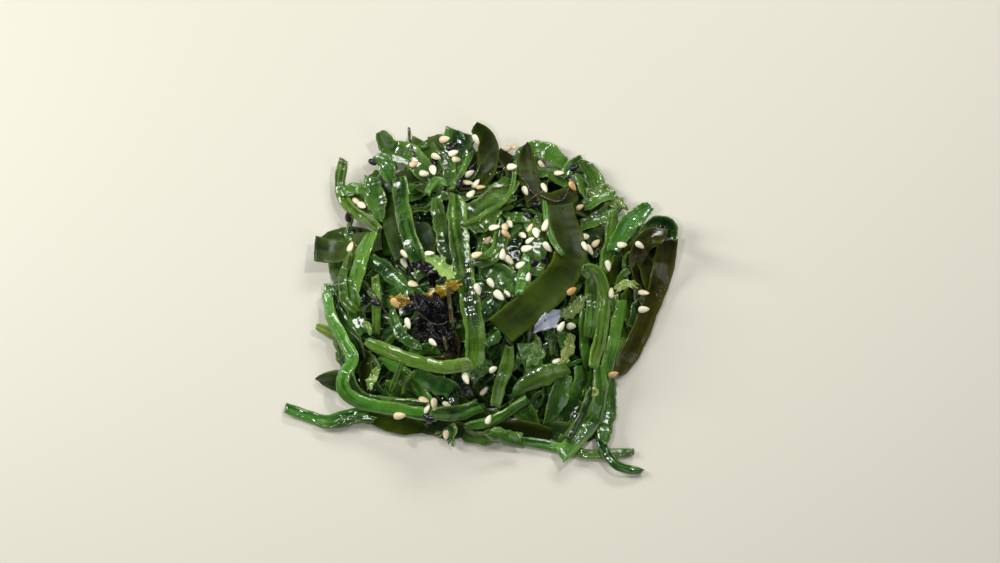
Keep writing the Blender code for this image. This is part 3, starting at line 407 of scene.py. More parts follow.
# Scraps, thin strips and threads on top of the heap, from the lowest to the topmost
SMALL = (
    small(
        "green_strip", 2.2, ((-41.0, -30.6), (-36.0, -31.2), (-31.0, -29.7), (-26.5, -29.8)),
        tone=0.6,
    ),
    small("midrib_strip", 1.6, ((-22.5, -23.0), (-21.5, -20.0), (-20.0, -17.0)), tone=0.35),
    small("midrib_strip", 1.6, ((-19.5, -23.5), (-18.5, -20.5), (-16.5, -18.0)), tone=0.35),
    small("green_strip", 4.2, ((-33.0, 5.0), (-32.0, -1.0), (-31.0, -5.5), (-29.5, -10.0)), tone=0.45),
    small("green_strip", 4.2, ((-27.0, 35.0), (-24.5, 33.5), (-22.5, 29.0)), tone=0.4, curl=0.2),
    small(
        "green_strip", 5.4, ((-27.6, 30.5), (-26.6, 25.0), (-24.8, 19.6)),
        tone=0.55, curl=0.3, ends=(0.6, 0.1),
    ),
    small("midrib_strip", 2.4, ((-32.5, 10.0), (-34.5, 5.0), (-34.0, 0.0), (-31.0, -4.0)), tone=0.6),
    small(
        "green_strip", 3.4, ((-35.4, 26.0), (-32.0, 27.2), (-28.2, 27.4)),
        tone=1.0, lift=1.0, ends=(0.3, 0.5),
    ),
    small("green_strip", 3.5, ((-10.5, 37.0), (-8.5, 33.0), (-7.8, 28.5)), tone=0.4),
    small("midrib_strip", 1.7, ((-2.6, 36.5), (-5.0, 32.0), (-7.6, 27.3)), tone=0.7),
    small(
        "midrib_strip", 2.3, ((-13.6, 24.6), (-13.2, 27.4), (-11.2, 28.9), (-9.0, 28.2)),
        tone=0.95, lift=0.6,
    ),
    small("green_strip", 5.0, ((3.5, 21.5), (0.5, 18.5), (-2.5, 15.5)), tone=0.75, curl=0.2),
    small(
        "midrib_strip", 1.3, ((8.3, 33.0), (7.8, 29.0), (6.2, 25.0), (3.0, 22.3), (-1.0, 20.0), (-4.0, 18.5)),
        tone=0.85, lift=0.8,
    ),
    small(
        "midrib_strip", 2.4, ((-26.4, 3.5), (-26.0, -1.0), (-26.4, -8.8)),
        tone=1.0, lift=1.2, ends=(0.9, 0.9),
    ),
    small("green_strip", 3.0, ((-22.3, -3.0), (-21.5, -7.0), (-19.0, -10.5), (-15.0, -12.5)), tone=0.55),
    small(
        "pale_scrap", 3.8, ((-13.6, 10.4), (-10.5, 7.2), (-6.8, 4.8)),
        tone=0.75, lift=0.8, ends=(0.7, 0.5),
    ),
    small("wood_ear", 2.6, ((-18.5, 6.0), (-16.0, 8.5), (-12.5, 7.2), (-12.0, 3.5)), tone=0.3),
    small("midrib_strip", 3.6, ((25.0, 6.5), (27.0, 3.0), (27.3, -3.0), (26.5, -10.0)), tone=0.6),
    small("midrib_strip", 3.0, ((11.0, 10.5), (10.5, 6.0), (9.3, 1.5)), tone=0.85),
    small("midrib_strip", 1.6, ((15.5, 22.0), (16.5, 17.0), (18.5, 13.0), (20.0, 11.0)), tone=0.75),
    small("pale_scrap", 2.2, ((33.0, 1.5), (36.0, 3.0), (39.0, 3.3)), tone=0.9),
    small("pale_scrap", 3.2, ((20.0, -5.0), (23.0, -3.0), (25.3, 0.5)), tone=0.5),
    small("pale_scrap", 3.0, ((21.5, -9.0), (22.0, -12.0), (20.0, -15.5)), tone=0.55),
    small("pale_scrap", 3.6, ((13.0, -10.0), (13.8, -13.0), (12.0, -16.5)), tone=0.3),
    # A dark strip with a tone below zero, standing for the shadowed side of the strips here: painted shade
    small("calm_midrib", 1.8, ((27.0, -24.4), (24.6, -29.6), (21.4, -34.8)), tone=-0.4, ends=(0.6, 0.8)),
    # Pale blue-grey on a piece of wood ear: partly its paler underside, partly a painted glare on its gloss
    small(
        "grey_scrap", 4.4, ((13.0, -8.9), (15.7, -7.6), (19.0, -6.6)),
        tone=0.4, lift=0.2, ends=(0.05, 1.0),
    ),
    small("green_strip", 3.0, ((1.0, -12.0), (2.5, -10.5), (4.5, -11.0)), tone=0.4, curl=-0.4),
    small("green_strip", 3.4, ((-2.6, -20.0), (-0.4, -19.4), (1.6, -17.4)), tone=0.1, curl=0.2),
    small("pale_scrap", 4.6, ((26.4, 24.0), (30.0, 26.6), (35.4, 22.6)), tone=0.12, lift=0.5),
    small("green_strip", 3.0, ((25.6, 22.4), (29.4, 24.4), (33.0, 25.6)), tone=0.9, lift=0.3, curl=0.4),
    small("green_strip", 2.6, ((20.0, 30.5), (22.5, 33.0), (24.8, 34.6)), tone=0.5, lift=1.0, roll=25),
    small("pale_scrap", 1.9, ((-29.6, -6.4), (-28.4, -7.4), (-27.4, -9.0)), tone=0.5),
    small("wood_ear", 2.0, ((-14.0, -8.0), (-9.4, -9.6), (-6.2, -13.6)), tone=0.2),
    small("wood_ear", 1.7, ((-12.4, -12.0), (-8.4, -9.6), (-6.4, -4.4)), tone=0.2),
    small("wood_ear", 1.8, ((-13.2, -6.0), (-10.6, -10.6), (-9.4, -13.8)), tone=0.2),
    small("wood_ear", 1.5, ((-17.0, -8.6), (-13.0, -10.6), (-9.0, -11.6)), tone=0.2),
    small("pale_scrap", 2.6, ((-28.0, -22.0), (-26.8, -19.5), (-25.5, -17.5)), tone=0.55),
    small("thread", 0.7, ((-18.5, 43.3), (-18.0, 39.5), (-17.0, 36.0)), tone=0.3),
    small("thread", 0.45, ((-28.5, 3.0), (-25.0, -1.0), (-22.0, -6.0)), tone=0.5),
    small("thread", 0.45, ((-1.0, 24.5), (3.0, 27.5), (8.0, 29.0)), tone=0.6),
    small("thread", 0.45, ((-37.0, -10.0), (-35.6, -13.0), (-35.0, -16.0)), tone=0.4),
    small("thread", 0.5, ((10.0, 30.5), (13.5, 26.0), (19.5, 24.5), (22.0, 28.5)), tone=0.5),
    small("thread", 0.4, ((13.0, 26.0), (14.5, 23.5), (12.0, 22.0)), tone=0.3),
    small("thread", 0.4, ((-16.0, -3.0), (-11.0, -6.5), (-6.5, -4.5)), tone=0.2),
    small("thread", 0.45, ((37.5, 3.4), (38.6, 1.6), (39.9, -2.0)), tone=0.5),
    small("thread", 1.1, ((-8.2, 1.2), (-7.6, -3.0), (-7.0, -7.0)), tone=0.9),
    small("thread", 0.8, ((-9.4, -9.0), (-8.8, -11.6), (-8.6, -13.8)), tone=0.9),
    small("thread", 0.4, ((4.0, 30.6), (7.0, 31.6), (11.0, 29.4)), tone=0.6),
    small("thread", 0.4, ((11.0, 24.0), (15.0, 27.0), (17.0, 31.0)), tone=0.7),
    small("thread", 0.4, ((-33.0, -8.0), (-30.0, -11.0), (-29.0, -15.0)), tone=0.9),
)

# Leaves and strips that show in the gaps between the traced ones, and lie lower than they do
UNDER = (
    small("dark_leaf", 5.4, ((-40.6, 14.8), (-36.6, 16.8), (-31.0, 18.6)), tone=0.3, ends=(0.1, 0.8)),
    small("brown_leaf", 4.6, ((-9.0, -4.0), (-7.4, -9.0), (-7.6, -14.0)), tone=0.0),
    small("brown_leaf", 4.0, ((-13.0, -13.0), (-9.6, -13.4), (-5.0, -13.0)), tone=0.0),
    small("dark_leaf", 6.0, ((22.6, 22.4), (25.4, 20.6), (28.4, 20.0)), tone=0.3),
    small("dark_leaf", 6.0, ((38.4, 8.4), (40.0, 4.0), (39.6, -1.0)), tone=0.3),
    small("dark_leaf", 6.0, ((35.4, 3.6), (37.0, -1.0), (37.4, -6.0)), tone=0.5),
    small("dark_leaf", 5.0, ((-31.0, -9.0), (-30.6, -13.0), (-31.4, -17.0)), tone=0.3),
    small("dark_leaf", 5.0, ((-4.0, -29.0), (0.0, -31.0), (4.0, -31.0)), tone=0.2),
    # A dark leaf with the lowest tone, put in a dark hole between the strips: painted shade
    small("dark_leaf", 7.0, ((-16.0, 21.0), (-14.5, 17.0), (-13.5, 12.0)), tone=0.0),
    small("dark_leaf", 6.0, ((-13.0, -24.5), (-9.0, -27.5), (-4.0, -27.0)), tone=0.1),
    small("dark_leaf", 6.0, ((-5.0, -24.5), (-1.0, -27.5), (4.0, -28.5)), tone=0.1),
    small("dark_leaf", 5.0, ((21.0, -24.0), (24.5, -26.5), (26.0, -31.0)), tone=0.3),
    small("dark_leaf", 6.0, ((15.0, -31.0), (19.5, -32.5), (24.0, -34.5)), tone=0.2),
    small("dark_leaf", 6.0, ((-18.0, 39.0), (-14.5, 37.0), (-10.0, 38.0)), tone=0.5),
    small("dark_leaf", 6.0, ((-28.0, 31.0), (-24.0, 28.5), (-20.5, 28.0)), tone=0.4),
    small("dark_leaf", 7.0, ((22.0, 34.0), (25.5, 32.0), (27.5, 28.0)), tone=0.5),
    small("dark_leaf", 7.0, ((21.5, 26.0), (25.5, 24.5), (30.0, 24.0)), tone=0.2),
    small("dark_leaf", 7.0, ((35.5, 19.0), (38.0, 15.5), (42.0, 12.0)), tone=0.4),
    small("olive_leaf", 6.0, ((39.0, 9.0), (42.0, 12.0), (45.0, 12.0)), tone=0.1),
    small("dark_leaf", 6.0, ((-5.0, 36.0), (-3.0, 32.0), (-1.5, 29.0)), tone=0.1),
    small("dark_leaf", 6.0, ((32.0, -2.0), (35.0, -6.0), (34.5, -12.0)), tone=0.3),
    small("green_strip", 6.0, ((-12.6, -28.6), (-8.6, -30.4), (-4.6, -29.0)), tone=0.5, curl=0.2),
    small("green_strip", 5.0, ((-27.0, -13.5), (-22.0, -15.5), (-18.0, -18.5)), tone=0.15),
    small("olive_leaf", 5.0, ((-29.5, -12.0), (-28.8, -17.0), (-28.0, -22.0)), tone=0.1),
    small("green_strip", 4.5, ((-33.0, 25.5), (-29.5, 24.5), (-26.5, 22.5)), tone=0.35),
    small("dark_leaf", 6.0, ((-22.0, 31.5), (-17.5, 31.0), (-13.0, 29.0)), tone=0.15),
    small("olive_leaf", 6.0, ((-4.5, 38.0), (-2.5, 34.0), (-4.0, 30.0)), tone=0.15),
    small("green_strip", 5.0, ((24.5, 31.0), (26.0, 28.0), (27.5, 25.5)), tone=0.85),
    small("olive_leaf", 7.0, ((30.5, 7.5), (35.0, 10.0), (39.5, 13.0)), tone=0.15),
    small("olive_leaf", 8.0, ((38.5, 12.0), (41.5, 8.0), (43.0, 3.0)), tone=0.35),
    small("green_strip", 6.0, ((10.5, -8.5), (12.5, -13.0), (13.5, -17.5)), tone=0.6),
    small("green_strip", 9.0, ((9.5, -19.5), (12.5, -23.5), (14.3, -29.5)), tone=0.62, ends=(0.7, 0.15)),
    small("green_strip", 8.0, ((21.5, -16.5), (19.5, -22.0), (16.5, -29.5)), tone=0.5, ends=(0.6, 0.15)),
    small("olive_leaf", 7.0, ((3.0, -30.5), (9.5, -32.0), (17.0, -34.0)), tone=0.0),
    small("green_strip", 2.5, ((23.0, -29.0), (21.0, -33.0), (19.0, -36.0)), tone=0.8),
    small("dark_leaf", 5.0, ((27.0, -19.0), (27.4, -24.0), (26.4, -29.0)), tone=0.6),
    small("midrib_strip", 3.0, ((25.2, 0.0), (25.5, -8.0), (26.3, -15.0), (25.5, -22.0)), tone=0.55),
    small("midrib_strip", 3.0, ((31.5, 0.0), (31.0, -8.0), (29.5, -16.0), (28.6, -22.0)), tone=0.6),
    small("green_strip", 3.4, ((32.8, -8.0), (31.8, -15.0), (31.0, -24.0), (30.6, -31.0)), tone=0.5),
    small("green_strip", 4.0, ((33.5, -5.0), (35.2, -9.5), (33.8, -15.0)), tone=0.7),
    small("green_strip", 4.0, ((-36.5, -8.0), (-33.5, -13.0), (-32.5, -18.0)), tone=0.5),
    small("green_strip", 5.0, ((-37.5, 12.0), (-35.5, 6.0), (-34.8, -1.0)), tone=0.3),
    small("dark_leaf", 6.0, ((-12.0, 40.5), (-10.0, 36.5), (-12.5, 33.5)), tone=0.4),
    small("dark_leaf", 6.0, ((-20.0, -27.0), (-12.0, -30.0), (-4.0, -31.5)), tone=0.1),
    small("green_strip", 5.0, ((-24.0, -20.0), (-19.0, -21.5), (-14.0, -24.0)), tone=0.2),
    small("olive_leaf", 6.0, ((4.0, 37.0), (8.0, 34.0), (9.0, 29.0)), tone=0.05),
    small("dark_leaf", 6.0, ((23.0, 22.0), (27.5, 18.0), (29.0, 13.0)), tone=0.05),
    small("dark_leaf", 5.5, ((-30.5, -10.5), (-28.2, -13.2), (-26.5, -16.5)), tone=0.2),
    small("dark_leaf", 5.5, ((-0.8, -26.0), (2.4, -27.0), (5.6, -27.2)), tone=0.2),
    small("dark_leaf", 5.5, ((26.8, 19.6), (29.5, 18.2), (32.0, 16.0)), tone=0.2),
)

# Seeds: where each is seen, which way it points, in degrees from the right, and how toasted it is,
# from 0, hulled and cream, to 1, dark orange
PALE_SEEDS = (
    (-9.3, 40.2, 10, 0.45), (-7.2, 36.8, 20, 0.1), (-6.5, 35.1, 10, 0.35), (-11.5, 35.6, -25, 0.2),
    (-12.2, 32.3, -70, 0.0), (-14.6, 31.6, 5, 0.05), (-17.2, 33.7, 30, 0.6), (-1.3, 38.2, -80, 0.0),
    (-3.3, 31.3, 10, 0.15), (-1.4, 28.6, 60, 0.1), (-0.3, 27.8, 10, 0.7), (-3.6, 28.7, 0, 0.3),
    (-2.7, 25.7, 65, 0.1), (-31.5, 24.2, -30, 0.4), (-30.0, 23.4, -50, 0.1), (-32.7, 13.0, 75, 0.3),
    (-19.0, 11.2, -35, 0.05), (-19.0, 8.7, -60, 0.1), (-12.9, 11.2, 0, 0.05), (-16.9, 3.8, -20, 0.3),
    (-1.2, 2.6, -50, 0.0), (2.3, 4.1, -60, 0.0), (1.5, 13.5, 40, 0.6), (-1.2, 11.0, 20, 0.4),
    (6.3, 37.4, 30, 0.4), (8.2, 37.4, -60, 0.6), (7.6, 33.1, -10, 0.0), (14.7, 33.6, -20, 0.4),
    (19.3, 31.5, 0, 0.3), (22.4, 28.2, -30, 0.9), (10.8, 27.2, -65, 0.1), (15.4, 27.8, -90, 0.1),
    (24.3, 22.0, 10, 0.5), (3.2, 17.7, -10, 0.0), (5.6, 18.0, 60, 0.5), (6.9, 18.4, -75, 0.1),
    (5.8, 16.2, 0, 0.7), (12.1, 17.8, 50, 0.4), (10.2, 15.8, -60, 0.0), (13.4, 16.5, -80, 0.0),
    (12.0, 14.4, 10, 0.0), (15.9, 18.4, 65, 0.1), (11.2, 12.4, 10, 0.0), (16.4, 11.4, -55, 0.05),
    (5.0, 11.3, 90, 0.1), (6.5, 9.7, -30, 0.1), (9.7, 8.5, 15, 0.0), (11.3, 5.6, 75, 0.1),
    (28.3, 13.8, 40, 0.5), (25.6, 15.2, 20, 0.0), (25.3, 13.2, -70, 0.1), (26.6, 12.3, -30, 0.05),
    (34.8, 13.6, 10, 0.1), (39.3, 13.6, -45, 0.1), (31.2, 8.2, -80, 0.0), (22.0, 2.0, 20, 0.95),
    (31.9, 1.5, 75, 0.1), (40.3, 1.0, -25, 0.4), (40.2, -2.6, 0, 0.1), (6.0, 1.4, 60, 0.0),
    (4.3, 0.8, -45, 0.1), (-18.0, -5.8, -75, 0.05), (-11.8, -11.7, -20, 0.0), (-21.3, -1.2, -60, 0.9),
    (-3.7, -21.8, -65, 0.0), (0.4, -22.6, 30, 0.05), (-14.3, -25.0, -40, 0.45), (-12.0, -26.0, -80, 0.4),
    (-13.3, -27.0, 25, 0.1), (-8.6, -25.8, -20, 0.1), (-20.3, -28.7, 10, 0.5), (1.7, -29.7, 65, 0.0),
    (2.6, -17.5, 0, 0.0), (19.4, -7.0, 65, 0.0), (22.0, -6.8, -25, 0.0), (18.5, -15.3, 60, 0.05),
    (32.5, -19.3, 0, 0.8), (-8.9, -33.4, -90, 0.3),
)
BLACK_SEEDS = (
    (-27.3, 34.5, -15), (-7.6, 38.3, 30), (-12.2, 34.7, -60), (-2.7, 33.3, 40), (-5.7, 28.2, 70),
    (-33.3, 20.0, 60), (13.0, 9.1, 0), (15.5, 9.4, -40), (11.4, 21.0, -50), (23.2, 33.0, 30),
    (-13.3, -30.0, -60), (-12.6, -31.6, 10), (-13.0, -28.4, 80), (-26.2, -0.8, -20), (13.6, 22.2, 20),
)

# The largest seeds' half length, width and height, the smallest as a share of them, how far a
# seed's middle is over what carries it, its lowest height, how unevenly it lies, the rows and columns
# of its points, and a black seed's tone
SEED_RADII = (1.60, 0.95, 0.60)
SEED_LEAST = 0.76
SEED_RISE = 0.30
SEED_LOWEST = 0.9
SEED_TILT = 0.12
SEED_GRID = (11, 14)
BLACK_TONE = 0.5

# The heap's outline as it is seen, round from the right, without its loose ends, and its height
OUTLINE_HEIGHT = 2.0
OUTLINE = (
    (47.0, 10.0), (46.0, 16.5), (40.5, 20.0), (32.5, 24.0), (29.5, 29.5), (23.0, 34.0), (14.5, 37.0),
    (6.0, 37.5), (0.0, 40.5), (-9.0, 42.0), (-18.0, 41.5), (-22.0, 39.0), (-27.5, 34.0), (-33.0, 30.0),
    (-34.5, 21.0), (-39.5, 14.5), (-40.0, 8.0), (-38.5, 2.0), (-38.5, -7.0), (-38.0, -14.0),
    (-37.5, -20.0), (-35.0, -26.0), (-28.0, -29.5), (-20.5, -31.5), (-13.0, -32.0), (-5.5, -33.5),
    (2.0, -33.5), (9.5, -35.0), (18.0, -37.5), (25.0, -37.5), (30.5, -34.0), (32.0, -27.0),
    (32.5, -19.0), (37.5, -14.0), (40.5, -7.5), (44.0, 2.0),
)

# The fine strips that fill the heap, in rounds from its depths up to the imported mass's skin: how
# many tries, the kinds, the ranges of length, width and tone, the room left to the heap's outline as
# a share of the width, how far under the skin they sink, and the share that may stand over it
INNER_SEED = 29
INNER_ROUNDS = (
    # The two deepest rounds keep to dark tones: painted shade deep in the heap
    (190, ("inner_leaf",), (9.0, 22.0), (4.5, 7.5), (0.0, 0.25), 0.2, 3.0, 2.0),
    (400, ("inner_leaf",), (14.0, 30.0), (6.0, 9.0), (0.0, 0.25), 0.5, 1.2, 0.5),
    (700, ("inner_blade", "inner_midrib"), (14.0, 40.0), (2.8, 5.4), (0.0, 1.0), 0.5, 0.0, 0.34),
    (1500, ("inner_blade", "inner_midrib"), (9.0, 22.0), (2.4, 4.6), (0.0, 1.0), 0.5, 0.0, 0.34),
    (900, ("inner_blade", "inner_midrib"), (10.0, 28.0), (1.3, 2.4), (0.3, 1.0), 0.5, -1.0, 0.3),
)

# Half the field that they are tried in, how far they turn, waver and curl, the lengths of the waves
# in their bends and rolls, how much narrower midribs are, and the tones green and bright start from
INNER_FIELD = (46.0, 41.0)
INNER_TURN, INNER_WAVER, INNER_CURL = 1.8, 0.35, 0.35
BEND_LENGTH, ROLL_LENGTH = 14.0, 15.0
MIDRIB_NARROWER = 0.68
GREEN_FROM, BRIGHT_FROM = 0.38, 0.8

# The skin that the fine strips stay under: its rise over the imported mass, its height at the
# heap's outline and its slope inwards, how much higher the pieces in the gaps may lie, how far down
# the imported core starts, and how high the ceiling is where nothing lies over the strips
SKIN_RISE = 2.2
RIM_SKIN, RIM_SLOPE = 1.8, 0.45
UNDER_ROOM = 1.5
DEPTH_START = 5.0
CEILING_START = 60.0

# The imported core: points from its middle out and round it, its reach as a share of the mass's, its
# lumps, its lowest height, its foot's reach as a share of its rim's, and its tone, kept low as painted
# shade deep in the heap
CORE_ROWS, CORE_COLUMNS = 40, 96
CORE_SHARE = 0.93
CORE_LUMP = 0.6
CORE_LOWEST, CORE_FOOT = 0.4, 0.97
CORE_SHADE_TONE = 0.05

# A slice of hollow stem: where it is seen, its radius, its tube's half width and half height, how
# far it is over the strips, and points round it and round its tube
RING_PLACE = (27.7, -22.8)
RING_RADIUS, RING_HALF_WIDTH, RING_HALF_HEIGHT = 0.82, 0.50, 0.42
RING_RISE = 0.35
RING_POINTS, RING_SIDES = 20, 8
RING_TONE = 0.75

# Drops of dressing: tries, how far out in the heap, how far up the picture the field is moved, the
# lowest place that holds one, radii, flatness, rise as a share of the radius, and the rows and
# columns of a drop's points
DROP_SEED = 5
DROP_COUNT = 520
DROP_FIELD, DROP_SHIFT = 0.9, 4.0
DROP_LOWEST = 3.0
DROP_RADII = (0.11, 0.30)
DROP_FLATNESS = 0.62
DROP_RISE = 0.1
DROP_GRID = (4, 8)


def dome(x, y, half_length, half_width, height):
    """Height of a dome over a point: it falls from top to rim by a power of the share outwards."""
    out = np.hypot(x / half_length, y / half_width)
    return height * (1.0 - np.minimum(out, 1.0) ** DOME_POWER)


def heap_height(x, y):
    """Height of the heap's dome over a point."""
    return dome(x, y, HEAP_HALF_LENGTH, HEAP_HALF_WIDTH, HEAP_HEIGHT)


def core_height(x, y):
    """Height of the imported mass's dome over a point."""
    return dome(x, y, CORE_HALF_LENGTH, CORE_HALF_WIDTH, CORE_HEIGHT)


def room_inside(x, y):
    """How far inside the heap's outline points lie, measured from its middle outwards."""
    across, up = np.array(OUTLINE).T
    away = (up - OUTLINE_HEIGHT * SIGHT_RISE) / SIGHT_UP
    reach = np.interp(
        np.arctan2(y, x), np.arctan2(away, across), np.hypot(across, away), period=2 * math.pi
    )
    return reach - np.hypot(x, y)


def plan_places(seen):
    """Points in plan of places as they are seen, each followed down the line of sight to the
    heap's dome."""
    across, up = np.array(seen, float).T
    y = up / SIGHT_UP
    for _ in range(SIGHT_ROUNDS):
        y = (up - heap_height(across, y) * SIGHT_RISE) / SIGHT_UP
    return np.stack([across, y], axis=1)


def smooth_line(points, step):
    """A Catmull-Rom curve through points, as points at equal steps along it, and its length."""
    ends = np.array([2 * points[0] - points[1], *points, 2 * points[-1] - points[-2]])
    share = np.linspace(0.0, 1.0, CURVE_STEPS, endpoint=False)[:, None]
    runs = []
    for before, start, end, after in zip(ends, ends[1:], ends[2:], ends[3:]):
        runs.append(
            0.5 * (
                2 * start + (end - before) * share
                + (2 * before - 5 * start + 4 * end - after) * share**2
                + (3 * start - before - 3 * end + after) * share**3
            )
        )
    line = np.concatenate([*runs, points[-1:]])
    gone = np.concatenate([[0.0], np.cumsum(np.linalg.norm(np.diff(line, axis=0), axis=1))])
    count = max(6, round(gone[-1] / step) + 1)
    at = np.linspace(0.0, gone[-1], count)
    return np.stack([np.interp(at, gone, axis) for axis in line.T], axis=1), gone[-1]


def unit(vectors):
    """Vectors with their length made 1."""
    return vectors / np.linalg.norm(vectors, axis=-1, keepdims=True)


def sideways(line):
    """The direction to the left of a line in plan, at each of its points."""
    along = unit(np.gradient(line, axis=0))
    return np.stack([-along[:, 1], along[:, 0]], axis=1)


def lean(line, left):
    """How far a strip rolls, in radians, to lie along the slope of the heap across it."""
    rise = heap_height(*(line + LEAN_REACH * left).T) - heap_height(*(line - LEAN_REACH * left).T)
    return np.clip(np.arctan(LEAN_SHARE * rise / (2 * LEAN_REACH)), -LEAN_MOST, LEAN_MOST)


def waves(at, seed, longest, count=4):
    """Smooth irregular waves, mostly between -1 and 1: a sum of sines, each shorter and weaker
    than the one before, with lengths and phases from a seeded draw."""
    draw = np.random.default_rng(seed)
    total, most = 0.0, 0.0
    for k in range(count):
        length = longest * WAVE_SHORTER**k * draw.uniform(*WAVE_SPREAD)
        weight = WAVE_WEAKER**k
        total = total + weight * np.sin(2 * math.pi * (at / length + draw.uniform()))
        most += weight
    return WAVE_SWELL * total / most


def blurred(values, reach):
    """Values along a line averaged with a bell of this many stations, with the ends carried on
    straight."""
    reach = min(reach, len(values) - 1)
    offsets = np.arange(-2 * reach, 2 * reach + 1)
    bell = np.exp(-0.5 * (offsets / max(reach, 1)) ** 2)
    padded = np.pad(values, 2 * reach, mode="reflect", reflect_type="odd")
    return np.convolve(padded, bell / bell.sum(), mode="valid")


class Relief:
    """The height of the heap so far, on a grid of small cells over the table."""

    def __init__(self, start=0.0):
        self.size = [round(2 * half / CELL) for half in FIELD_HALF]
        self.height = np.full(self.size, start)

    def cells(self, x, y):
        """The column and row of the cell that each point lies over."""
        column = np.clip(((x + FIELD_HALF[0]) / CELL).astype(int), 1, self.size[0] - 2)
        row = np.clip(((y + FIELD_HALF[1]) / CELL).astype(int), 1, self.size[1] - 2)
        return column, row

    def at(self, x, y, pick=np.maximum):
        """The highest, or lowest, value in a point's cell and its neighbours."""
        column, row = self.cells(x, y)
        found = self.height[column, row]
        for right in (-1, 0, 1):
            for away in (-1, 0, 1):
                found = pick(found, self.height[column + right, row + away])
        return found

    def add(self, points, pick=np.maximum):
        """Raises the cells under points to them, or lowers them with the other pick."""
        x, y, z = points.reshape(-1, 3).T
        pick.at(self.height, self.cells(x, y), z)

    def middles(self):
        """x and y of every cell's middle."""
        x = (np.arange(self.size[0]) + 0.5) * CELL - FIELD_HALF[0]
        y = (np.arange(self.size[1]) + 0.5) * CELL - FIELD_HALF[1]
        return np.meshgrid(x, y, indexing="ij")

    def seen(self, across, up):
        """The point of the relief that is seen at a place, from the line of sight through it."""
        z = np.arange(SIGHT_TOP, -SIGHT_STEP, -SIGHT_STEP)
        y = (up - z * SIGHT_RISE) / SIGHT_UP
        hit = np.argmax(self.height[self.cells(np.full_like(y, across), y)] >= z)
        return np.array([across, y[hit], z[hit]])

    def normal(self, x, y, reach=1.2):
        """The relief's upward normal, from its slopes over a small reach."""
        right, left, away, near = self.at(
            x + reach * np.array([1.0, -1.0, 0.0, 0.0]), y + reach * np.array([0.0, 0.0, 1.0, -1.0])
        )
        slope = np.clip(np.array([right - left, away - near]) / (2 * reach), -0.9, 0.9)
        return unit(np.array([-slope[0], -slope[1], 1.0]))


class Batch:
    """Grids of points that go into one mesh, with the faces between them and what the materials
    read: the way along a strip in mm, the share across it from -1 to 1, and its tone."""

    def __init__(self):
        self.points, self.quads, self.tips, self.notes, self.count = [], [], [], [], 0

    def add(self, points, quads, notes, tips=None):
        """Adds a grid: its points, its faces of four and of three corners, and its notes."""
        self.points.append(points)
        self.quads.append(quads + self.count)
        if tips is not None:
            self.tips.append(tips + self.count)
        self.notes.append(notes)
        self.count += len(points)

    def mesh(self, name):
        """All the grids as one smooth mesh in metres, with no point under the floor."""
        points = np.concatenate(self.points)
        points[:, 2] = np.maximum(points[:, 2], LOWEST)
        quads = np.concatenate(self.quads)
        tips = np.concatenate(self.tips) if self.tips else np.zeros((0, 3), int)
        corners = np.concatenate([quads.ravel(), tips.ravel()])
        starts = np.concatenate([
            4 * np.arange(len(quads)), 4 * len(quads) + 3 * np.arange(len(tips)),
        ])
        mesh = bpy.data.meshes.new(name)
        mesh.vertices.add(len(points))
        mesh.vertices.foreach_set("co", (points * MM).astype(np.float32).ravel())
        mesh.loops.add(len(corners))
        mesh.loops.foreach_set("vertex_index", corners.astype(np.int32))
        mesh.polygons.add(len(starts))
        mesh.polygons.foreach_set("loop_start", starts.astype(np.int32))
        mesh.update(calc_edges=True)
        notes = mesh.attributes.new("strip", "FLOAT_VECTOR", "POINT")
        notes.data.foreach_set("vector", np.concatenate(self.notes).astype(np.float32).ravel())
        mesh.shade_smooth()
        return mesh


def ball_faces(rows, columns):
    """Faces of a closed ball, from one pole to the other: quads between its rows, and triangles
    from the first and last row to the poles, which come after the rows."""
    grid = np.arange(rows * columns).reshape(rows, columns)
    after = np.roll(grid, -1, axis=1)
    quads = np.stack([grid[:-1], grid[1:], after[1:], after[:-1]], axis=-1).reshape(-1, 4)
    front = np.full(columns, rows * columns)
    tips = np.concatenate([
        np.stack([front, grid[0], after[0]], axis=1),
        np.stack([front + 1, after[-1], grid[-1]], axis=1),
    ])
    return quads, tips


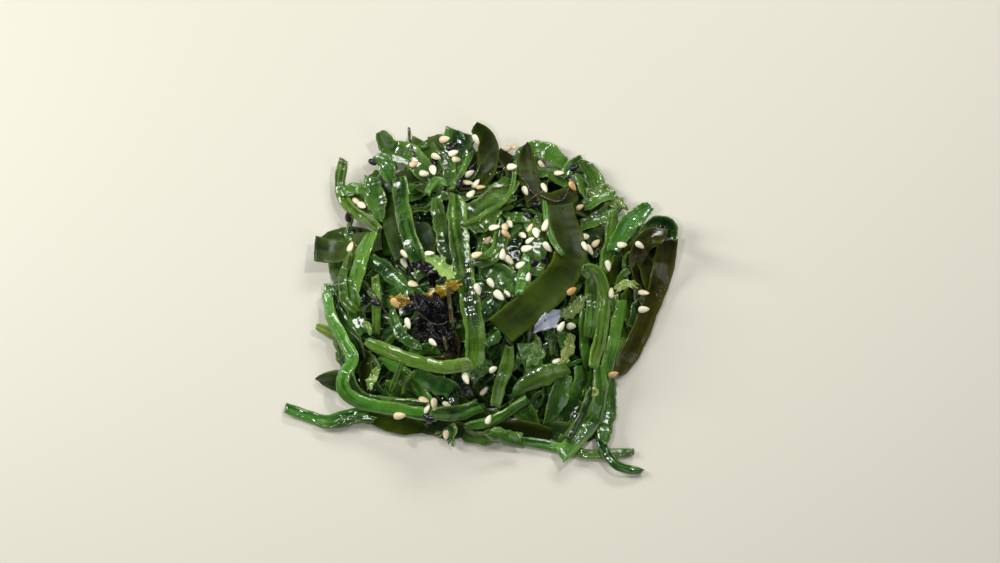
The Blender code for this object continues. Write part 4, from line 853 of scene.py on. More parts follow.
def blade(batch, centre, left, half, roll, style, seed, tone, curl):
    """Adds one strip to a batch. Its cut is a lens, boxier or rounder, of the style's thickness,
    bent up at its edges by the square of the share across, and swayed, frilled, pleated and
    notched by waves along it. The cuts are carried along the centreline, each turned to stand
    square to it and rolled about it, and each end is drawn together to a ragged line."""
    count = style["points"]
    share_across = -np.cos(np.linspace(0.0, math.pi, count))
    if style["boxy"] > 4:
        share_across = 0.5 * share_across + 0.5 * np.linspace(-1.0, 1.0, count)
    gone = np.concatenate([[0.0], np.cumsum(np.linalg.norm(np.diff(centre, axis=0), axis=1))])
    along = unit(np.gradient(centre, axis=0))
    aside = np.concatenate([left, np.zeros((len(left), 1))], axis=1)
    up = unit(np.cross(along, aside))
    turned = aside * np.cos(roll)[:, None] + up * np.sin(roll)[:, None]
    out = unit(np.cross(along, turned))

    v = share_across[None, :]
    right_notch = waves(gone, seed + 1, style["notch_length"])
    left_notch = waves(gone, seed + 2, style["notch_length"])
    notch = 1.0 + style["notch"] * np.where(v > 0, right_notch[:, None], left_notch[:, None]) * np.abs(v)
    right_frill = waves(gone, seed + 3, style["frill_length"])
    left_frill = waves(gone, seed + 4, style["frill_length"])
    frill = style["frill"] * np.where(v > 0, right_frill[:, None], left_frill[:, None]) * v**2
    sway = style["sway"] * waves(gone, seed + 5, style["sway_length"])[:, None]
    wander = waves(gone, seed + 6, PLEAT_WANDER_LENGTH, 2)[:, None]
    pleat_place = v * PLEAT_SPREAD + PLEAT_WANDER * wander
    pleat = style["pleat"] * waves(pleat_place, seed + 7, PLEAT_LENGTH, 3) * (1 - v**4)
    middle = frill + sway + pleat + curl * half[:, None] * v**2
    thin = THICK_MEAN + THICK_SWING * waves(gone, seed + 8, THICK_LENGTH)[:, None]
    depth = 0.5 * style["thick"] * thin * np.maximum(1.0 - np.abs(v) ** style["boxy"], 0.0) ** 0.5
    depth = depth * np.minimum(1.0, half / (0.5 * style["thick"]))[:, None]

    ragged = style["ragged"] * waves(share_across * half.mean(), seed + 9, RAGGED_LENGTH)
    slant = np.random.default_rng(seed).uniform(-0.5, 0.5, 2)[:, None]
    slant = slant * share_across * min(half.mean(), SLANT_HALF_MOST)
    near_start = np.clip(1.0 - gone / END_REACH, 0.0, 1.0)[:, None] ** 2
    near_end = np.clip(1.0 - (gone[-1] - gone) / END_REACH, 0.0, 1.0)[:, None] ** 2
    slip = near_end * (ragged + slant[1]) - near_start * (ragged[::-1] + slant[0])

    across_part = (v * notch * half[:, None])[..., None] * turned[:, None, :]
    along_part = slip[..., None] * along[:, None, :]
    sheet = centre[:, None, :] + across_part + along_part + middle[..., None] * out[:, None, :]
    upper = sheet + depth[..., None] * out[:, None, :]
    lower = sheet - depth[..., None] * out[:, None, :]

    # Rings: over the top from one edge to the other and back underneath
    rings = np.concatenate([upper, lower[:, -2:0:-1]], axis=1)
    stations, around = rings.shape[:2]
    first = sheet[0] - END_SWELL * style["thick"] * along[0]
    last = sheet[-1] + END_SWELL * style["thick"] * along[-1]
    points = np.concatenate([rings.reshape(-1, 3), first, last])

    index = np.arange(stations * around).reshape(stations, around)
    line_of = np.concatenate([np.arange(count), np.arange(count - 2, 0, -1)])
    start_line = stations * around + line_of
    end_line = stations * around + count + line_of
    table = np.concatenate([start_line[None], index, end_line[None]])
    a, b = table[:-1], np.roll(table, -1, axis=1)[:-1]
    c, d = np.roll(table, -1, axis=1)[1:], table[1:]
    faces = np.stack([a, d, c, b], axis=-1).reshape(-1, 4)

    v_ring = np.concatenate([share_across, share_across[-2:0:-1]])
    notes = np.empty((len(points), 3))
    notes[: stations * around, 0] = np.repeat(gone, around)
    notes[: stations * around, 1] = np.tile(v_ring, stations)
    notes[stations * around:, 0] = np.repeat([0.0, gone[-1]], count)
    notes[stations * around:, 1] = np.tile(share_across, 2)
    notes[:, 2] = tone + TONE_STEP * (seed % TONE_STEPS)
    batch.add(points, faces, notes)
    return upper, lower


def half_widths(share, length, width, ends):
    """Half the width along a strip: full, and drawn in to each end over about a width."""
    near_start = np.clip(share * length / width, 0.0, 1.0)
    near_end = np.clip((1.0 - share) * length / width, 0.0, 1.0)
    start, end = ends
    taper = (start + (1 - start) * near_start**0.6) * (end + (1 - end) * near_end**0.6)
    return 0.5 * width * taper


def heights_in_solid(name, line):
    """Height of a solid's underside under each point of a line, from rays cast up at it, with
    gaps filled from beside them."""
    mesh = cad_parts[name].data
    tree = BVHTree.FromPolygons([v.co for v in mesh.vertices], [p.vertices[:] for p in mesh.polygons])
    found = np.full(len(line), np.nan)
    for number, (x, y) in enumerate(line * MM):
        place = tree.ray_cast(Vector((x, y, RAYS_FROM)), Vector((0.0, 0.0, 1.0)))[0]
        if place is not None:
            found[number] = place.z / MM
    known = np.flatnonzero(~np.isnan(found))
    return np.interp(np.arange(len(line)), known, found[known])


def traced_strips():
    """Every strip that has a solid: its row of the table, its batch and its faces' points."""
    made = []
    for number, piece in enumerate(TRACED):
        style = STYLES[piece["cut"]]
        line, length = smooth_line(plan_places(piece["seen"]), FINE_STEP)
        left = sideways(line)
        share = np.linspace(0.0, 1.0, len(line))
        roll = lean(line, left) + np.radians(np.interp(share, (0, 1), piece["roll"]))
        solid_thick = SOLID_THICKNESS[piece["kind"]]
        height = heights_in_solid(piece["name"], line) + 0.5 * solid_thick * np.cos(roll)
        height = blurred(height, TRACED_SMOOTH) + piece["rise"] * np.clip(3.0 * share - 2.0, 0.0, 1.0) ** 2
        centre = np.column_stack([line, height])
        half = half_widths(share, length, piece["width"], piece["ends"])
        batch = Batch()
        upper, lower = blade(
            batch, centre, left, half, blurred(roll, TRACED_SMOOTH), style, TRACED_APART * number,
            piece["tone"], piece["curl"],
        )
        made.append((piece, batch, upper, lower))
    return made


def settle(bed, limp, rounds):
    """Heights of a slack band over a bed: it sags freely but never below the bed."""
    height = bed.copy()
    for _ in range(rounds):
        padded = np.pad(height, 1, mode="edge")
        height = np.maximum(bed, 0.25 * padded[:-2] + 0.5 * height + 0.25 * padded[2:] - limp)
    return height


def inner_strips(relief, ceiling):
    """The fine strips that fill the heap, as batches: a draw of places, headings and turns, each
    strip laid on the ones before it, and kept only where it stays under the traced strips and the
    packed mass's skin. Wide leaves come first, dark as painted shade deep in the heap, and close the
    view to the table."""
    draw = np.random.default_rng(INNER_SEED)
    batches = {"dark": Batch(), "green": Batch(), "bright": Batch()}
    tries = [settings for count, *settings in INNER_ROUNDS for _ in range(count)]
    for number, (kinds, lengths, widths, tones, room, sink, strict) in enumerate(tries):
        place = draw.uniform(-1.0, 1.0, 2) * INNER_FIELD
        heading, turn = draw.uniform(0.0, 2 * math.pi), draw.uniform(-INNER_TURN, INNER_TURN)
        length = draw.uniform(*lengths)
        kind = kinds[draw.integers(len(kinds))]
        width = draw.uniform(*widths) * (MIDRIB_NARROWER if kind == "inner_midrib" else 1.0)
        tone = draw.uniform(*tones)

        count = max(8, round(length / INNER_STEP))
        share = np.linspace(-0.5, 0.5, count)
        waver = INNER_WAVER * waves(share * length, number + INNER_BENDS, BEND_LENGTH)
        angle = heading + turn * share + waver
        steps = np.stack([np.cos(angle), np.sin(angle)], axis=1) * length / (count - 1)
        line = np.cumsum(steps, axis=0)
        line += place - line.mean(axis=0)
        if room_inside(*line.T).min() < room * width:
            continue

        roll = lean(line, sideways(line))
        roll = roll + INNER_WAVER * waves(share * length, number + INNER_ROLLS, ROLL_LENGTH)
        half = half_widths(share + 0.5, length, width, (0.5, 0.5))
        which = "dark" if tone < GREEN_FROM else "green" if tone < BRIGHT_FROM else "bright"
        curl = 0.0 if kind == "inner_midrib" else draw.uniform(-INNER_CURL, INNER_CURL)
        tuck(
            batches[which], line, half, roll, STYLES[kind], INNER_WAVES + WAVES_APART * number,
            tone, curl, sink, strict, relief, ceiling,
        )
    return batches


def cut_places(line, left, half, roll, across):
    """x and y of points at these shares across a strip's cuts, and their rise over its middle."""
    side = across * half[:, None] * np.cos(roll)[:, None]
    rise = across * half[:, None] * np.sin(roll)[:, None]
    return line[:, :1] + side * left[:, :1], line[:, 1:] + side * left[:, 1:], rise


def tuck(batch, line, half, roll, style, seed, tone, curl, sink, strict, relief, ceiling):
    """Lays a strip on the relief and under the ceiling, less a sinking, and adds it to a batch. It
    is left out where more than a strict share of it would stand higher."""
    left = sideways(line)
    body = 0.5 * style["thick"]
    x, y, rise = cut_places(line, left, half, roll, np.array([-1.0, -0.5, 0.0, 0.5, 1.0]))
    bed = (relief.at(x, y) - rise).max(axis=1) + body + BED_AIR
    height = settle(bed, INNER_LIMP, INNER_SAGS)
    roof = (ceiling.at(x, y, np.minimum) - rise).min(axis=1) - body - ROOF_AIR - sink
    if (height > roof).mean() > strict:
        return
    height = blurred(np.minimum(height, roof), LIGHT_SMOOTH)
    height = np.maximum(height, body + FLOOR_AIR - rise.min(axis=1))
    upper, _ = blade(batch, np.column_stack([line, height]), left, half, roll, style, seed, tone, curl)
    relief.add(upper)


def under_strip(piece, number, relief, ceiling):
    """The batch of a strip or leaf that is placed in a gap between the traced ones."""
    style = STYLES[usual_cut(piece["kind"], piece["width"])]
    line, length = smooth_line(plan_places(piece["seen"]), FINE_STEP)
    share = np.linspace(0.0, 1.0, len(line))
    half = half_widths(share, length, piece["width"], piece["ends"])
    roll = blurred(lean(line, sideways(line)), TRACED_SMOOTH)
    batch = Batch()
    tuck(
        batch, line, half, roll, style, UNDER_WAVES + WAVES_APART * number, piece["tone"],
        piece["curl"], 0.0, 2.0, relief, ceiling,
    )
    return batch


def lie_on(piece, number, relief, batch):
    """Lays a small strip on the relief and adds it to a batch."""
    style = STYLES[piece["kind"]]
    places = np.array([relief.seen(across, up)[:2] for across, up in piece["seen"]])
    line, length = smooth_line(places, FINE_STEP)
    left = sideways(line)
    share = np.linspace(0.0, 1.0, len(line))
    roll = blurred(LOOSE_LEAN * lean(line, left), LOOSE_SMOOTH) + math.radians(piece["roll"])
    half = half_widths(share, length, piece["width"], piece["ends"])
    x, y, rise = cut_places(line, left, half, roll, np.array([-0.7, 0.0, 0.7]))
    bed = (relief.at(x, y) - rise).max(axis=1) + LOOSE_PRESS * style["thick"]
    height = blurred(settle(blurred(bed, LIGHT_SMOOTH), LOOSE_LIMP, LOOSE_SAGS), LIGHT_SMOOTH)
    height = height + piece["lift"] * np.sin(math.pi * share)
    height = np.maximum(height, 0.5 * style["thick"] + FLOOR_AIR - rise.min(axis=1))
    upper, _ = blade(
        batch, np.column_stack([line, height]), left, half, roll, style,
        LOOSE_WAVES + WAVES_APART * number, piece["tone"], piece["curl"],
    )
    relief.add(upper)


def ball_turns(rows, columns):
    """How far each row of a ball is turned from its pole, and each column round it."""
    polar = np.linspace(0.0, math.pi, rows + 2)[1:-1, None]
    return polar, np.arange(columns)[None, :] * 2 * math.pi / columns


def axes_on(outward, hint):
    """Three axes square to each other, the last of them outwards."""
    aside = unit(np.cross(outward, hint))
    return np.stack([aside, np.cross(outward, aside), outward])


def seed_grid(place, outward, turn, scale, batch, tone, seed):
    """Adds one sesame seed: a ball drawn out along its length, narrower towards one end by a
    cosine, flattened, with a shallow keel, and turned to lie on what carries it."""
    along = np.array([math.cos(turn), math.sin(turn), 0.0])
    along = unit(along - outward * (along @ outward))
    aside = np.cross(outward, along)
    rows, columns = SEED_GRID
    polar, round_about = ball_turns(rows, columns)
    narrow = np.sin(polar) ** 0.9 * (1.0 - 0.30 * np.cos(polar))
    x = np.broadcast_to(np.cos(polar), (rows, columns))
    y = narrow * np.cos(round_about)
    z = narrow * np.sin(round_about) * (1.0 + 0.06 * np.cos(3 * round_about + seed))
    local = np.stack([x, y, z], axis=-1).reshape(-1, 3)
    local = np.concatenate([local, [[1.06, 0.0, 0.0], [-0.99, 0.0, 0.0]]])
    points = place + (local * SEED_RADII * scale) @ np.stack([along, aside, outward])
    quads, tips = ball_faces(rows, columns)
    notes = np.column_stack([local[:, 0], local[:, 1], np.full(len(local), tone)])
    batch.add(points, quads, notes, tips)


def seeds(table, relief, batch):
    """Seeds at the places where they are seen, each on the relief and tilted as it is there."""
    draw = np.random.default_rng(len(table))
    for number, (across, up, degrees, *toasted) in enumerate(table):
        place = relief.seen(across, up)
        outward = unit(relief.normal(place[0], place[1]) + draw.normal(0.0, SEED_TILT, 3))
        top = relief.at(np.array([place[0]]), np.array([place[1]]))[0]
        middle = np.array([place[0], place[1], top]) + SEED_RISE * outward
        middle[2] = max(middle[2], SEED_LOWEST)
        scale = draw.uniform(SEED_LEAST, 1.0)
        tone = toasted[0] if toasted else BLACK_TONE
        seed_grid(middle, outward, math.radians(degrees), scale, batch, tone, number)


def drops(relief, batch):
    """Small drops on the strips: balls flattened on the relief and turned to its slope."""
    draw = np.random.default_rng(DROP_SEED)
    rows, columns = DROP_GRID
    polar, turn = ball_turns(rows, columns)
    local = np.stack([
        np.sin(polar) * np.cos(turn), np.sin(polar) * np.sin(turn), np.cos(polar) * DROP_FLATNESS + 0 * turn,
    ], axis=-1).reshape(-1, 3)
    local = np.concatenate([local, [[0.0, 0.0, DROP_FLATNESS], [0.0, 0.0, -DROP_FLATNESS]]])
    quads, tips = ball_faces(rows, columns)
    for _ in range(DROP_COUNT):
        out = math.sqrt(draw.uniform(0.0, 1.0)) * DROP_FIELD
        round_about = draw.uniform(0.0, 2 * math.pi)
        across = HEAP_HALF_LENGTH * out * math.cos(round_about)
        up = HEAP_HALF_WIDTH * out * math.sin(round_about) + DROP_SHIFT
        place = relief.seen(across, up)
        if place[2] < DROP_LOWEST:
            continue
        outward = relief.normal(place[0], place[1], 0.6)
        radius = draw.uniform(*DROP_RADII)
        points = place + DROP_RISE * radius * outward + radius * local @ axes_on(outward, [0.3, 1.0, 0.1])
        batch.add(points, quads, np.zeros((len(points), 3)), tips)


def small_ring(relief, batch):
    """A thin slice of hollow stem: a round tube bent into a ring, lying on the strips."""
    place = relief.seen(*RING_PLACE)
    outward = relief.normal(place[0], place[1], 1.6)
    big = np.arange(RING_POINTS)[:, None] * 2 * math.pi / RING_POINTS
    side = np.arange(RING_SIDES)[None, :] * 2 * math.pi / RING_SIDES
    reach = RING_RADIUS + RING_HALF_WIDTH * np.cos(side)
    local = np.stack([
        reach * np.cos(big), reach * np.sin(big), RING_HALF_HEIGHT * np.sin(side) + 0 * big,
    ], axis=-1).reshape(-1, 3)
    grid = np.arange(len(local)).reshape(RING_POINTS, RING_SIDES)
    onward, after = np.roll(grid, -1, axis=0), np.roll(grid, -1, axis=1)
    quads = np.stack([grid, onward, np.roll(onward, -1, axis=1), after], axis=-1).reshape(-1, 4)
    notes = np.column_stack([local[:, 0], local[:, 1] * 0.5, np.full(len(local), RING_TONE)])
    batch.add(place + RING_RISE * outward + local @ axes_on(outward, [0.2, 1.0, 0.0]), quads, notes)


def packed_core():
    """The packed mass deep in the heap, nearly black as painted shade: a lumpy dome under the fine strips,
    flat below.
    """
    out = np.linspace(0.0, 1.0, CORE_ROWS)[1:, None]
    turn = np.arange(CORE_COLUMNS)[None, :] * 2 * math.pi / CORE_COLUMNS
    x = CORE_SHARE * CORE_HALF_LENGTH * out * np.cos(turn)
    y = CORE_SHARE * CORE_HALF_WIDTH * out * np.sin(turn)
    lumps = CORE_LUMP * waves(x + 0.4 * y, 31, 9.0) + CORE_LUMP * waves(y - 0.5 * x, 32, 8.0)
    z = np.maximum(core_height(x, y) - DEPTH_START + lumps, CORE_LOWEST)
    top = np.stack([x, y, z], axis=-1).reshape(-1, 3)
    rim = top[-CORE_COLUMNS:] * [CORE_FOOT, CORE_FOOT, 0.0] + [0.0, 0.0, LOWEST]
    poles = np.array([[0.0, 0.0, CORE_HEIGHT - DEPTH_START], [0.0, 0.0, LOWEST]])
    points = np.concatenate([top, rim, poles])
    notes = np.column_stack([points[:, 0], np.zeros(len(points)), np.full(len(points), CORE_SHADE_TONE)])
    batch = Batch()
    quads, tips = ball_faces(CORE_ROWS, CORE_COLUMNS)
    batch.add(points, quads, notes, tips)
    return batch


def new_group(name, inputs, outputs):
    """An empty shader node group with named sockets, and its input and output nodes."""
    group = bpy.data.node_groups.new(name, "ShaderNodeTree")
    for label, kind, value in inputs:
        socket = group.interface.new_socket(label, in_out="INPUT", socket_type=kind)
        socket.default_value = value
    for label, kind in outputs:
        group.interface.new_socket(label, in_out="OUTPUT", socket_type=kind)
    return group, group.nodes.new("NodeGroupInput"), group.nodes.new("NodeGroupOutput")


class Maker:
    """Short ways to add nodes to a tree and to link them."""

    def __init__(self, tree):
        self.tree = tree

    def node(self, kind, links=None, **settings):
        """A new node, with its inputs fed and its own settings."""
        made = self.tree.nodes.new(kind)
        for key, value in settings.items():
            setattr(made, key, value)
        return self.feed(made, links or {})

    def feed(self, made, values):
        """Links a node's inputs to other nodes' outputs, or sets them to plain values."""
        for key, value in values.items():
            if isinstance(value, bpy.types.NodeSocket):
                self.tree.links.new(value, made.inputs[key])
            else:
                made.inputs[key].default_value = value
        return made

    def place_and_notes(self):
        """The place on the piece, and the three parts of what its mesh notes down."""
        notes = self.node("ShaderNodeAttribute", attribute_name="strip").outputs["Vector"]
        parts = self.node("ShaderNodeSeparateXYZ", {0: notes}).outputs
        return self.node("ShaderNodeTexCoord").outputs["Object"], parts

    def math(self, operation, first, second=0.0, clamp=False):
        """A sum on two values, held from 0 to 1 if clamped."""
        made = self.node("ShaderNodeMath", {0: first, 1: second}, operation=operation, use_clamp=clamp)
        return made.outputs[0]

    def noise(self, vector, scale, detail=2.0, roughness=0.5, distortion=0.0):
        """Soft noise over a vector."""
        made = self.node(
            "ShaderNodeTexNoise",
            {
                "Vector": vector, "Scale": scale, "Detail": detail, "Roughness": roughness,
                "Distortion": distortion,
            },
        )
        return made.outputs["Fac"]

    def blend(self, share, first, second):
        """A mix of two colours by a share."""
        made = self.tree.nodes.new("ShaderNodeMix")
        made.data_type = "RGBA"
        return self.feed(made, {0: share, 6: first, 7: second}).outputs[2]

    def ramp(self, value, low, high):
        """A smooth rise from 0 at a low value to 1 at a high one."""
        made = self.node(
            "ShaderNodeMapRange", {"Value": value, "From Min": low, "From Max": high},
            interpolation_type="SMOOTHSTEP",
        )
        return made.outputs["Result"]

    def stretched(self, parts, factors):
        """A vector's three parts, each times its own factor, as one vector."""
        scaled = {
            number: self.math("MULTIPLY", part, factor)
            for number, (part, factor) in enumerate(zip(parts, factors))
        }
        return self.node("ShaderNodeCombineXYZ", scaled).outputs[0]


def strip_skin():
    """The colour, roughness and relief of a wet strip's skin. Colour runs from deep to fresh with
    the strip's tone, a soft mottling, lengthwise fibres and lengthwise bands, the bands partly the
    strip's own two tones and partly painted shade down one side, and to the rim's paler colour at
    its edges, partly the thin edges' own paler green and partly a painted edge highlight.
    The relief has fibres, fine grain and small beads of wet."""
    group, inputs, outputs = new_group(
        "strip_skin",
        (
            ("Deep", "NodeSocketColor", (0.01, 0.05, 0.01, 1.0)),
            ("Fresh", "NodeSocketColor", (0.1, 0.3, 0.04, 1.0)),
            ("Rim", "NodeSocketColor", (0.2, 0.4, 0.06, 1.0)),
            ("Fibre", "NodeSocketFloat", 0.5),
            ("Beads", "NodeSocketFloat", 0.5),
            ("Matte", "NodeSocketFloat", 0.0),
        ),
        (("Color", "NodeSocketColor"), ("Roughness", "NodeSocketFloat"), ("Height", "NodeSocketFloat")),
    )
    make = Maker(group)
    given = inputs.outputs
    place, parts = make.place_and_notes()
    across, tone = parts[1], parts[2]
    fibre = make.noise(make.stretched(parts, (0.10, 2.6, 37.0)), 1.6, 3.0, 0.6)
    # Lengthwise bands: partly the strip's own two tones, partly painted shade down one side
    tone_and_shade_band = make.ramp(make.noise(make.stretched(parts, (0.05, 1.25, 71.0)), 1.0, 1.0, 0.5), 0.44, 0.56)
    mottle = make.noise(place, 190.0, 3.0, 0.55, 0.6)
    drift = make.noise(place, 62.0, 1.0, 0.5, 0.4)
    grain = make.noise(place, 1500.0, 2.0, 0.6)
    cells = make.node("ShaderNodeTexVoronoi", {"Vector": place, "Scale": 1500.0}, feature="F1")
    speck = cells.outputs["Distance"]

    wander = make.math("MULTIPLY", make.math("SUBTRACT", mottle, 0.5), 1.2)
    wander = make.math("ADD", wander, make.math("MULTIPLY", make.math("SUBTRACT", drift, 0.5), 1.4))
    streak = make.math("MULTIPLY", make.math("SUBTRACT", fibre, 0.5), given["Fibre"])
    tone_and_shade_band = make.math("MULTIPLY", make.math("SUBTRACT", tone_and_shade_band, 0.6), given["Fibre"])
    wander = make.math("ADD", wander, make.math("MULTIPLY", tone_and_shade_band, 0.75))
    fresh = make.math("ADD", tone, wander)
    fresh = make.math("ADD", fresh, make.math("MULTIPLY", streak, 1.6), clamp=True)
    colour = make.blend(fresh, given["Deep"], given["Fresh"])
    own = make.node(
        "ShaderNodeTexWhiteNoise", {"W": make.math("MULTIPLY", tone, 91.7)}, noise_dimensions="1D"
    )
    hue = make.node(
        "ShaderNodeHueSaturation",
        {
            "Color": colour,
            "Hue": make.math("ADD", 0.478, make.math("MULTIPLY", own.outputs["Value"], 0.045)),
            "Value": make.math("ADD", 0.90, make.math("MULTIPLY", own.outputs["Value"], 0.15)),
        },
    )
    colour = hue.outputs["Color"]
    # Paler rims: partly the thin edges' own paler green, partly a painted edge highlight
    edge = make.math("POWER", make.math("ABSOLUTE", across), 5.0)
    broken = make.math("ADD", make.math("MULTIPLY", mottle, 0.9), 0.1)
    edge = make.math("MULTIPLY", edge, broken, clamp=True)
    colour = make.blend(edge, colour, given["Rim"])
    flecks = make.ramp(grain, 0.62, 0.78)
    colour = make.blend(make.math("MULTIPLY", flecks, 0.22), colour, given["Rim"])

    rough = make.math("ADD", make.math("MULTIPLY", grain, 0.22), make.math("MULTIPLY", mottle, 0.10))
    rough = make.math("ADD", rough, given["Matte"])

    bead = make.math("SUBTRACT", 1.0, make.ramp(speck, 0.05, 0.42))
    wet = make.ramp(mottle, 0.48, 0.62)
    bead = make.math("MULTIPLY", make.math("MULTIPLY", bead, wet), given["Beads"])
    height = make.math("MULTIPLY", fibre, given["Fibre"])
    height = make.math("ADD", height, make.math("MULTIPLY", grain, 0.16))
    height = make.math("ADD", height, bead)
    make.feed(outputs, {"Color": colour, "Roughness": rough, "Height": height})
    return group


def new_finish(name):
    """A new material, what adds nodes to it, and its shader."""
    material = bpy.data.materials.new(name)
    material.use_nodes = True
    return material, Maker(material.node_tree), material.node_tree.nodes["Principled BSDF"]


def wet_material(
    name, deep, fresh, rim, fibre=0.5, beads=0.9, bump=0.5, coat=0.7, inside=0.12, level=0.5, matte=0.0
):
    """A wet strip's finish: its skin's colour and relief under a thin film, with some light let
    through its flesh."""
    material, make, shader = new_finish(name)
    skin = make.node("ShaderNodeGroup", node_tree=SKIN)
    make.feed(skin, {
        "Deep": (*deep, 1.0), "Fresh": (*fresh, 1.0), "Rim": (*rim, 1.0), "Fibre": fibre,
        "Beads": beads, "Matte": matte,
    })
    relief = make.node(
        "ShaderNodeBump", {"Height": skin.outputs["Height"], "Strength": bump, "Distance": 0.0003}
    )
    make.feed(shader, {
        "Base Color": skin.outputs["Color"], "Roughness": skin.outputs["Roughness"],
        "Normal": relief.outputs["Normal"], "IOR": 1.42, "Specular IOR Level": level,
        "Coat Weight": coat, "Coat Roughness": 0.06, "Coat IOR": 1.38, "Subsurface Weight": inside,
        "Subsurface Radius": (0.5, 1.0, 0.25), "Subsurface Scale": 0.0015,
    })
    return material


def seed_material(name, pale, toasted, roughness):
    """A seed's finish: from pale to toasted with its tone, darker towards its point, with fine
    lengthwise lines."""
    material, make, shader = new_finish(name)
    place, parts = make.place_and_notes()
    point = make.ramp(parts[0], 0.45, 1.05)
    blotch = make.noise(place, 420.0, 2.0)
    share = make.math("ADD", parts[2], make.math("MULTIPLY", point, 0.28))
    blotch = make.math("MULTIPLY", make.math("SUBTRACT", blotch, 0.5), 0.5)
    share = make.math("ADD", share, blotch, clamp=True)
    colour = make.blend(share, (*pale, 1.0), (*toasted, 1.0))
    across = make.math("MULTIPLY", parts[1], 9.0)
    lines_place = make.node("ShaderNodeCombineXYZ", {0: parts[0], 1: across, 2: parts[2]}).outputs[0]
    lines = make.noise(lines_place, 1.6, 2.0)
    relief = make.node("ShaderNodeBump", {"Height": lines, "Strength": 0.25, "Distance": 0.0002})
    make.feed(shader, {
        "Base Color": colour, "Normal": relief.outputs["Normal"], "Roughness": roughness,
        "Specular IOR Level": 0.35, "Coat Weight": 0.25, "Coat Roughness": 0.15,
        "Subsurface Weight": 0.1, "Subsurface Radius": (1.0, 0.7, 0.4), "Subsurface Scale": 0.0005,
    })
    return material


def drop_material():
    """Clear thin dressing."""
    material, make, shader = new_finish("dressing_drop")
    make.feed(shader, {
        "Base Color": (0.95, 0.97, 0.86, 1.0), "Roughness": 0.02, "IOR": 1.36,
        "Transmission Weight": 1.0,
    })
    return material


def finish_piece(name, batch, material, replaced=()):
    """One finished piece on the heap's body, in place of the solids that it stands for."""
    mesh = batch.mesh(name)
    mesh.materials.append(material)
    obj = bpy.data.objects.new(name, mesh)
    bpy.context.scene.collection.objects.link(obj)
    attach(obj, "root")
    if replaced:
        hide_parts(*replaced)


def soft_light(name, place, size, power):
    """A white light with straight sides that faces the heap."""
    data = bpy.data.lights.new(name, "AREA")
    data.shape = "RECTANGLE"
    data.size, data.size_y = size
    data.energy = power
    light = bpy.data.objects.new(name, data)
    light.location = place
    light.rotation_euler = (Vector(LIGHT_TARGET) - Vector(place)).to_track_quat("-Z", "Y").to_euler()
    bpy.context.scene.collection.objects.link(light)


def pale_floor():
    """The matt floor that the heap rests on."""
    bpy.ops.mesh.primitive_plane_add(size=FLOOR_SIZE, location=(0.0, 0.0, 0.0))
    floor = bpy.context.object
    floor.name = "floor"
    cloth, make, shader = new_finish("pale_floor")
    make.feed(shader, {"Base Color": FLOOR_COLOUR, "Roughness": FLOOR_ROUGHNESS})
    floor.data.materials.append(cloth)


def surround():
    """The even faint light from all around."""
    world = bpy.data.worlds.new("surround")
    world.use_nodes = True
    world.node_tree.nodes["Background"].inputs["Color"].default_value = SURROUND_COLOUR
    world.node_tree.nodes["Background"].inputs["Strength"].default_value = SURROUND_STRENGTH
    bpy.context.scene.world = world


def sight_camera():
    """The camera, far off and long, so that the view fits the photograph's frame."""
    scene = bpy.context.scene
    across = (IMAGE_WIDTH / 2 - FOOT_PIXEL[0]) / PIXELS_PER_MM
    up = (FOOT_PIXEL[1] - IMAGE_HEIGHT / 2) / PIXELS_PER_MM
    aim = Vector((across, up * SIGHT_UP, up * SIGHT_RISE)) * MM
    data = bpy.data.cameras.new("camera")
    data.sensor_width = SENSOR_WIDTH
    data.lens = SENSOR_WIDTH * CAMERA_DISTANCE / (IMAGE_WIDTH / PIXELS_PER_MM)
    data.clip_start, data.clip_end = 0.01, 10.0
    camera = bpy.data.objects.new("camera", data)
    camera.location = aim + Vector((0.0, -SIGHT_RISE, SIGHT_UP)) * CAMERA_DISTANCE * MM
    camera.rotation_euler = (aim - camera.location).to_track_quat("-Z", "Y").to_euler()
    scene.collection.objects.link(camera)
    scene.camera = camera
    scene.view_settings.view_transform = "Standard"


SKIN = strip_skin()

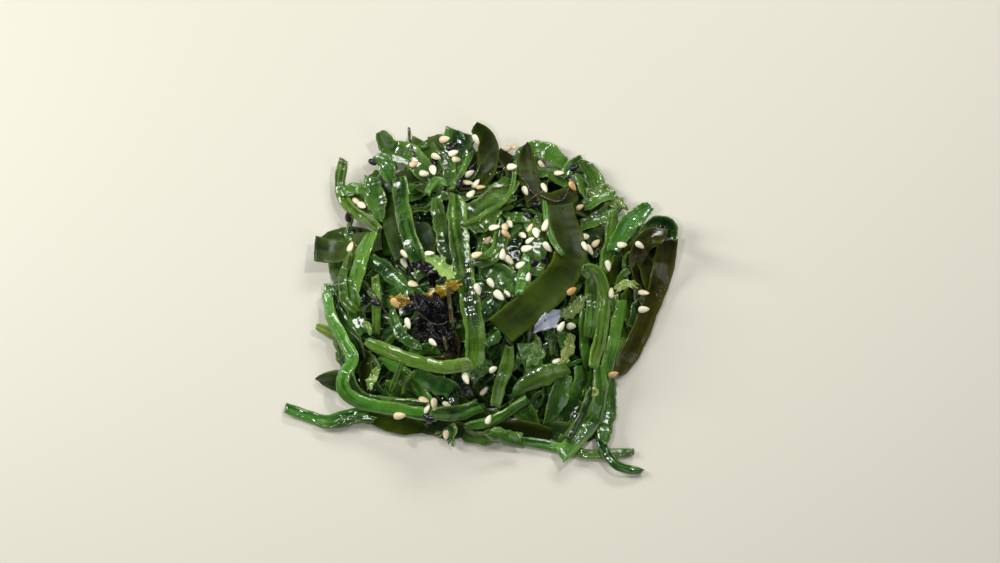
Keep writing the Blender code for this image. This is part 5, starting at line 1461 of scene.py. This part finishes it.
# The finish of each kind: its deep, fresh and rim colours, and where it isn't as wet strips are
MATERIALS = {
    "brown_leaf": wet_material(
        "brown_leaf_skin", (0.014, 0.012, 0.003), (0.050, 0.058, 0.005), (0.10, 0.11, 0.012), fibre=0.3,
        bump=0.55, beads=1.0, coat=0.3, level=0.4,
    ),
    "calm_midrib": wet_material(
        "calm_midrib_skin", (0.008, 0.030, 0.004), (0.080, 0.210, 0.022), (0.22, 0.37, 0.06), fibre=0.5,
        beads=0.15, bump=0.25,
    ),
    "midrib_strip": wet_material(
        "midrib_skin", (0.008, 0.028, 0.004), (0.086, 0.215, 0.020), (0.21, 0.35, 0.06), fibre=0.7,
    ),
    "green_strip": wet_material(
        "blade_skin", (0.006, 0.023, 0.005), (0.072, 0.180, 0.020), (0.17, 0.30, 0.05), fibre=0.4,
        inside=0.15,
    ),
    "dark_leaf": wet_material(
        "dark_leaf_skin", (0.009, 0.020, 0.004), (0.052, 0.105, 0.010), (0.10, 0.17, 0.02), fibre=0.25,
        beads=0.3, bump=0.25, coat=0.12, level=0.3, matte=0.24,
    ),
    "olive_leaf": wet_material(
        "olive_skin", (0.010, 0.014, 0.002), (0.052, 0.080, 0.002), (0.085, 0.125, 0.008), fibre=0.15,
        beads=0.1, bump=0.12, coat=0.0, level=0.15, matte=0.2,
    ),
    "pale_scrap": wet_material(
        "pale_skin", (0.025, 0.09, 0.010), (0.28, 0.38, 0.09), (0.46, 0.54, 0.18), fibre=0.4, inside=0.3,
    ),
    "amber_scrap": wet_material(
        "amber_skin", (0.09, 0.030, 0.003), (0.30, 0.19, 0.014), (0.44, 0.36, 0.04), fibre=0.4, inside=0.3,
    ),
    # Pale blue-grey on wood ear: partly its paler underside, partly a painted glare on its gloss
    "grey_scrap": wet_material(
        "grey_glare_skin", (0.20, 0.22, 0.26), (0.45, 0.49, 0.56), (0.60, 0.64, 0.70), fibre=0.6, inside=0.1,
    ),
    "wood_ear": wet_material(
        "wood_ear_skin", (0.0015, 0.001, 0.001), (0.007, 0.005, 0.005), (0.010, 0.008, 0.009), fibre=0.4,
        beads=0.9, bump=0.5, coat=0.3, inside=0.0, level=0.12, matte=0.15,
    ),
    # Darker than the skins on top: painted shade inside the heap
    "inner": wet_material(
        "inner_shade_skin", (0.003, 0.011, 0.002), (0.050, 0.135, 0.012), (0.10, 0.21, 0.03), fibre=0.5,
    ),
    # Nearly black green: the packed seaweed's colour darkened into painted shade deep in the heap
    "core": wet_material(
        "core_shade_skin", (0.002, 0.010, 0.002), (0.006, 0.026, 0.004), (0.01, 0.03, 0.005), fibre=0.5, inside=0.0,
    ),
    "thread": wet_material(
        "thread_skin", (0.010, 0.012, 0.003), (0.070, 0.055, 0.014), (0.09, 0.08, 0.02), fibre=0.3,
    ),
}

# The slot that each kind's finish belongs to; the traced strips look theirs up, but no piece is given one
SLOTS = {
    "midrib_strip": "midrib_green",
    "calm_midrib": "midrib_green",
    "thread": "midrib_green",
    "green_strip": "leaf_green",
    "olive_leaf": "leaf_olive",
    "dark_leaf": "leaf_olive",
    "brown_leaf": "leaf_olive",
    "pale_scrap": "scrap_pale",
    "amber_scrap": "scrap_amber",
    "wood_ear": "wood_ear_black",
    "grey_scrap": "wood_ear_black",
}


def fill_inside(laid):
    """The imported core, the fine strips over it and the pieces in the gaps, all under the traced
    strips. Gives back the relief that they make."""
    relief, ceiling = Relief(), Relief(CEILING_START)
    for _, _, _, lower in laid:
        ceiling.add(lower, np.minimum)
    x, y = relief.middles()
    relief.height = np.maximum(core_height(x, y) - DEPTH_START, 0.0)
    skin = np.maximum(core_height(x, y) + SKIN_RISE, RIM_SKIN + RIM_SLOPE * room_inside(x, y))
    ceiling.height = np.minimum(ceiling.height, skin)
    inner = inner_strips(relief, ceiling)
    finish_piece("packed_core", packed_core(), MATERIALS["core"], ("packed_strips",))
    for shade, batch in inner.items():
        name = "inner_strips_" + shade
        finish_piece(name, batch, MATERIALS["inner"], ("packed_strips",))

    ceiling.height = np.where(ceiling.height == skin, skin + UNDER_ROOM, ceiling.height)
    for number, piece in enumerate(UNDER):
        kind = piece["kind"]
        batch = under_strip(piece, number, relief, ceiling)
        finish_piece(f"under_{kind}_{number + 1:02d}", batch, MATERIALS[kind])
    return relief


def lay_traced(laid, relief):
    """The traced strips, each in place of its solid."""
    for piece, batch, upper, _ in laid:
        relief.add(upper)
        material, slot = MATERIALS[piece["skin"]], SLOTS[piece["kind"]]
        finish_piece("fine_" + piece["name"], batch, material, (piece["name"],))


def lay_tuft(relief):
    """The tuft of wood ear: its shreds laid over each other, as one piece."""
    tuft = Batch()
    for number, (width, seen) in enumerate(WOOD_EAR):
        lie_on(small("wood_ear", width, seen), EAR_FIRST + number, relief, tuft)
    finish_piece("wood_ear_tuft", tuft, MATERIALS["wood_ear"], ("wood_ear_shreds",))


def lay_small(relief):
    """The scraps, thin strips and threads on top, numbered by kind."""
    count = {}
    for number, piece in enumerate(SMALL):
        kind = piece["kind"]
        count[kind] = count.get(kind, 0) + 1
        batch = Batch()
        lie_on(piece, number, relief, batch)
        finish_piece(f"small_{kind}_{count[kind]:02d}", batch, MATERIALS[kind])


def lay_garnish(relief):
    """The seeds, the drops and the slice of hollow stem."""
    ring, pale, black, wet = Batch(), Batch(), Batch(), Batch()
    seeds(PALE_SEEDS, relief, pale)
    seeds(BLACK_SEEDS, relief, black)
    drops(relief, wet)
    small_ring(relief, ring)
    cream = seed_material("cream_seed", (0.86, 0.85, 0.62), (0.60, 0.32, 0.08), 0.38)
    dark = seed_material("black_seed", (0.005, 0.004, 0.006), (0.016, 0.012, 0.016), 0.25)
    finish_piece("ring_slice", ring, MATERIALS["pale_scrap"])
    finish_piece("sesame_seeds", pale, cream)
    finish_piece("black_sesame_seeds", black, dark)
    finish_piece("dressing_drops", wet, drop_material())


# The heap, from its inside outwards
traced_pieces = traced_strips()
heap = fill_inside(traced_pieces)
lay_traced(traced_pieces, heap)
lay_tuft(heap)
lay_small(heap)
lay_garnish(heap)

# The floor, the lights and the camera
pale_floor()
for light in LIGHTS:
    soft_light(*light)
surround()
sight_camera()
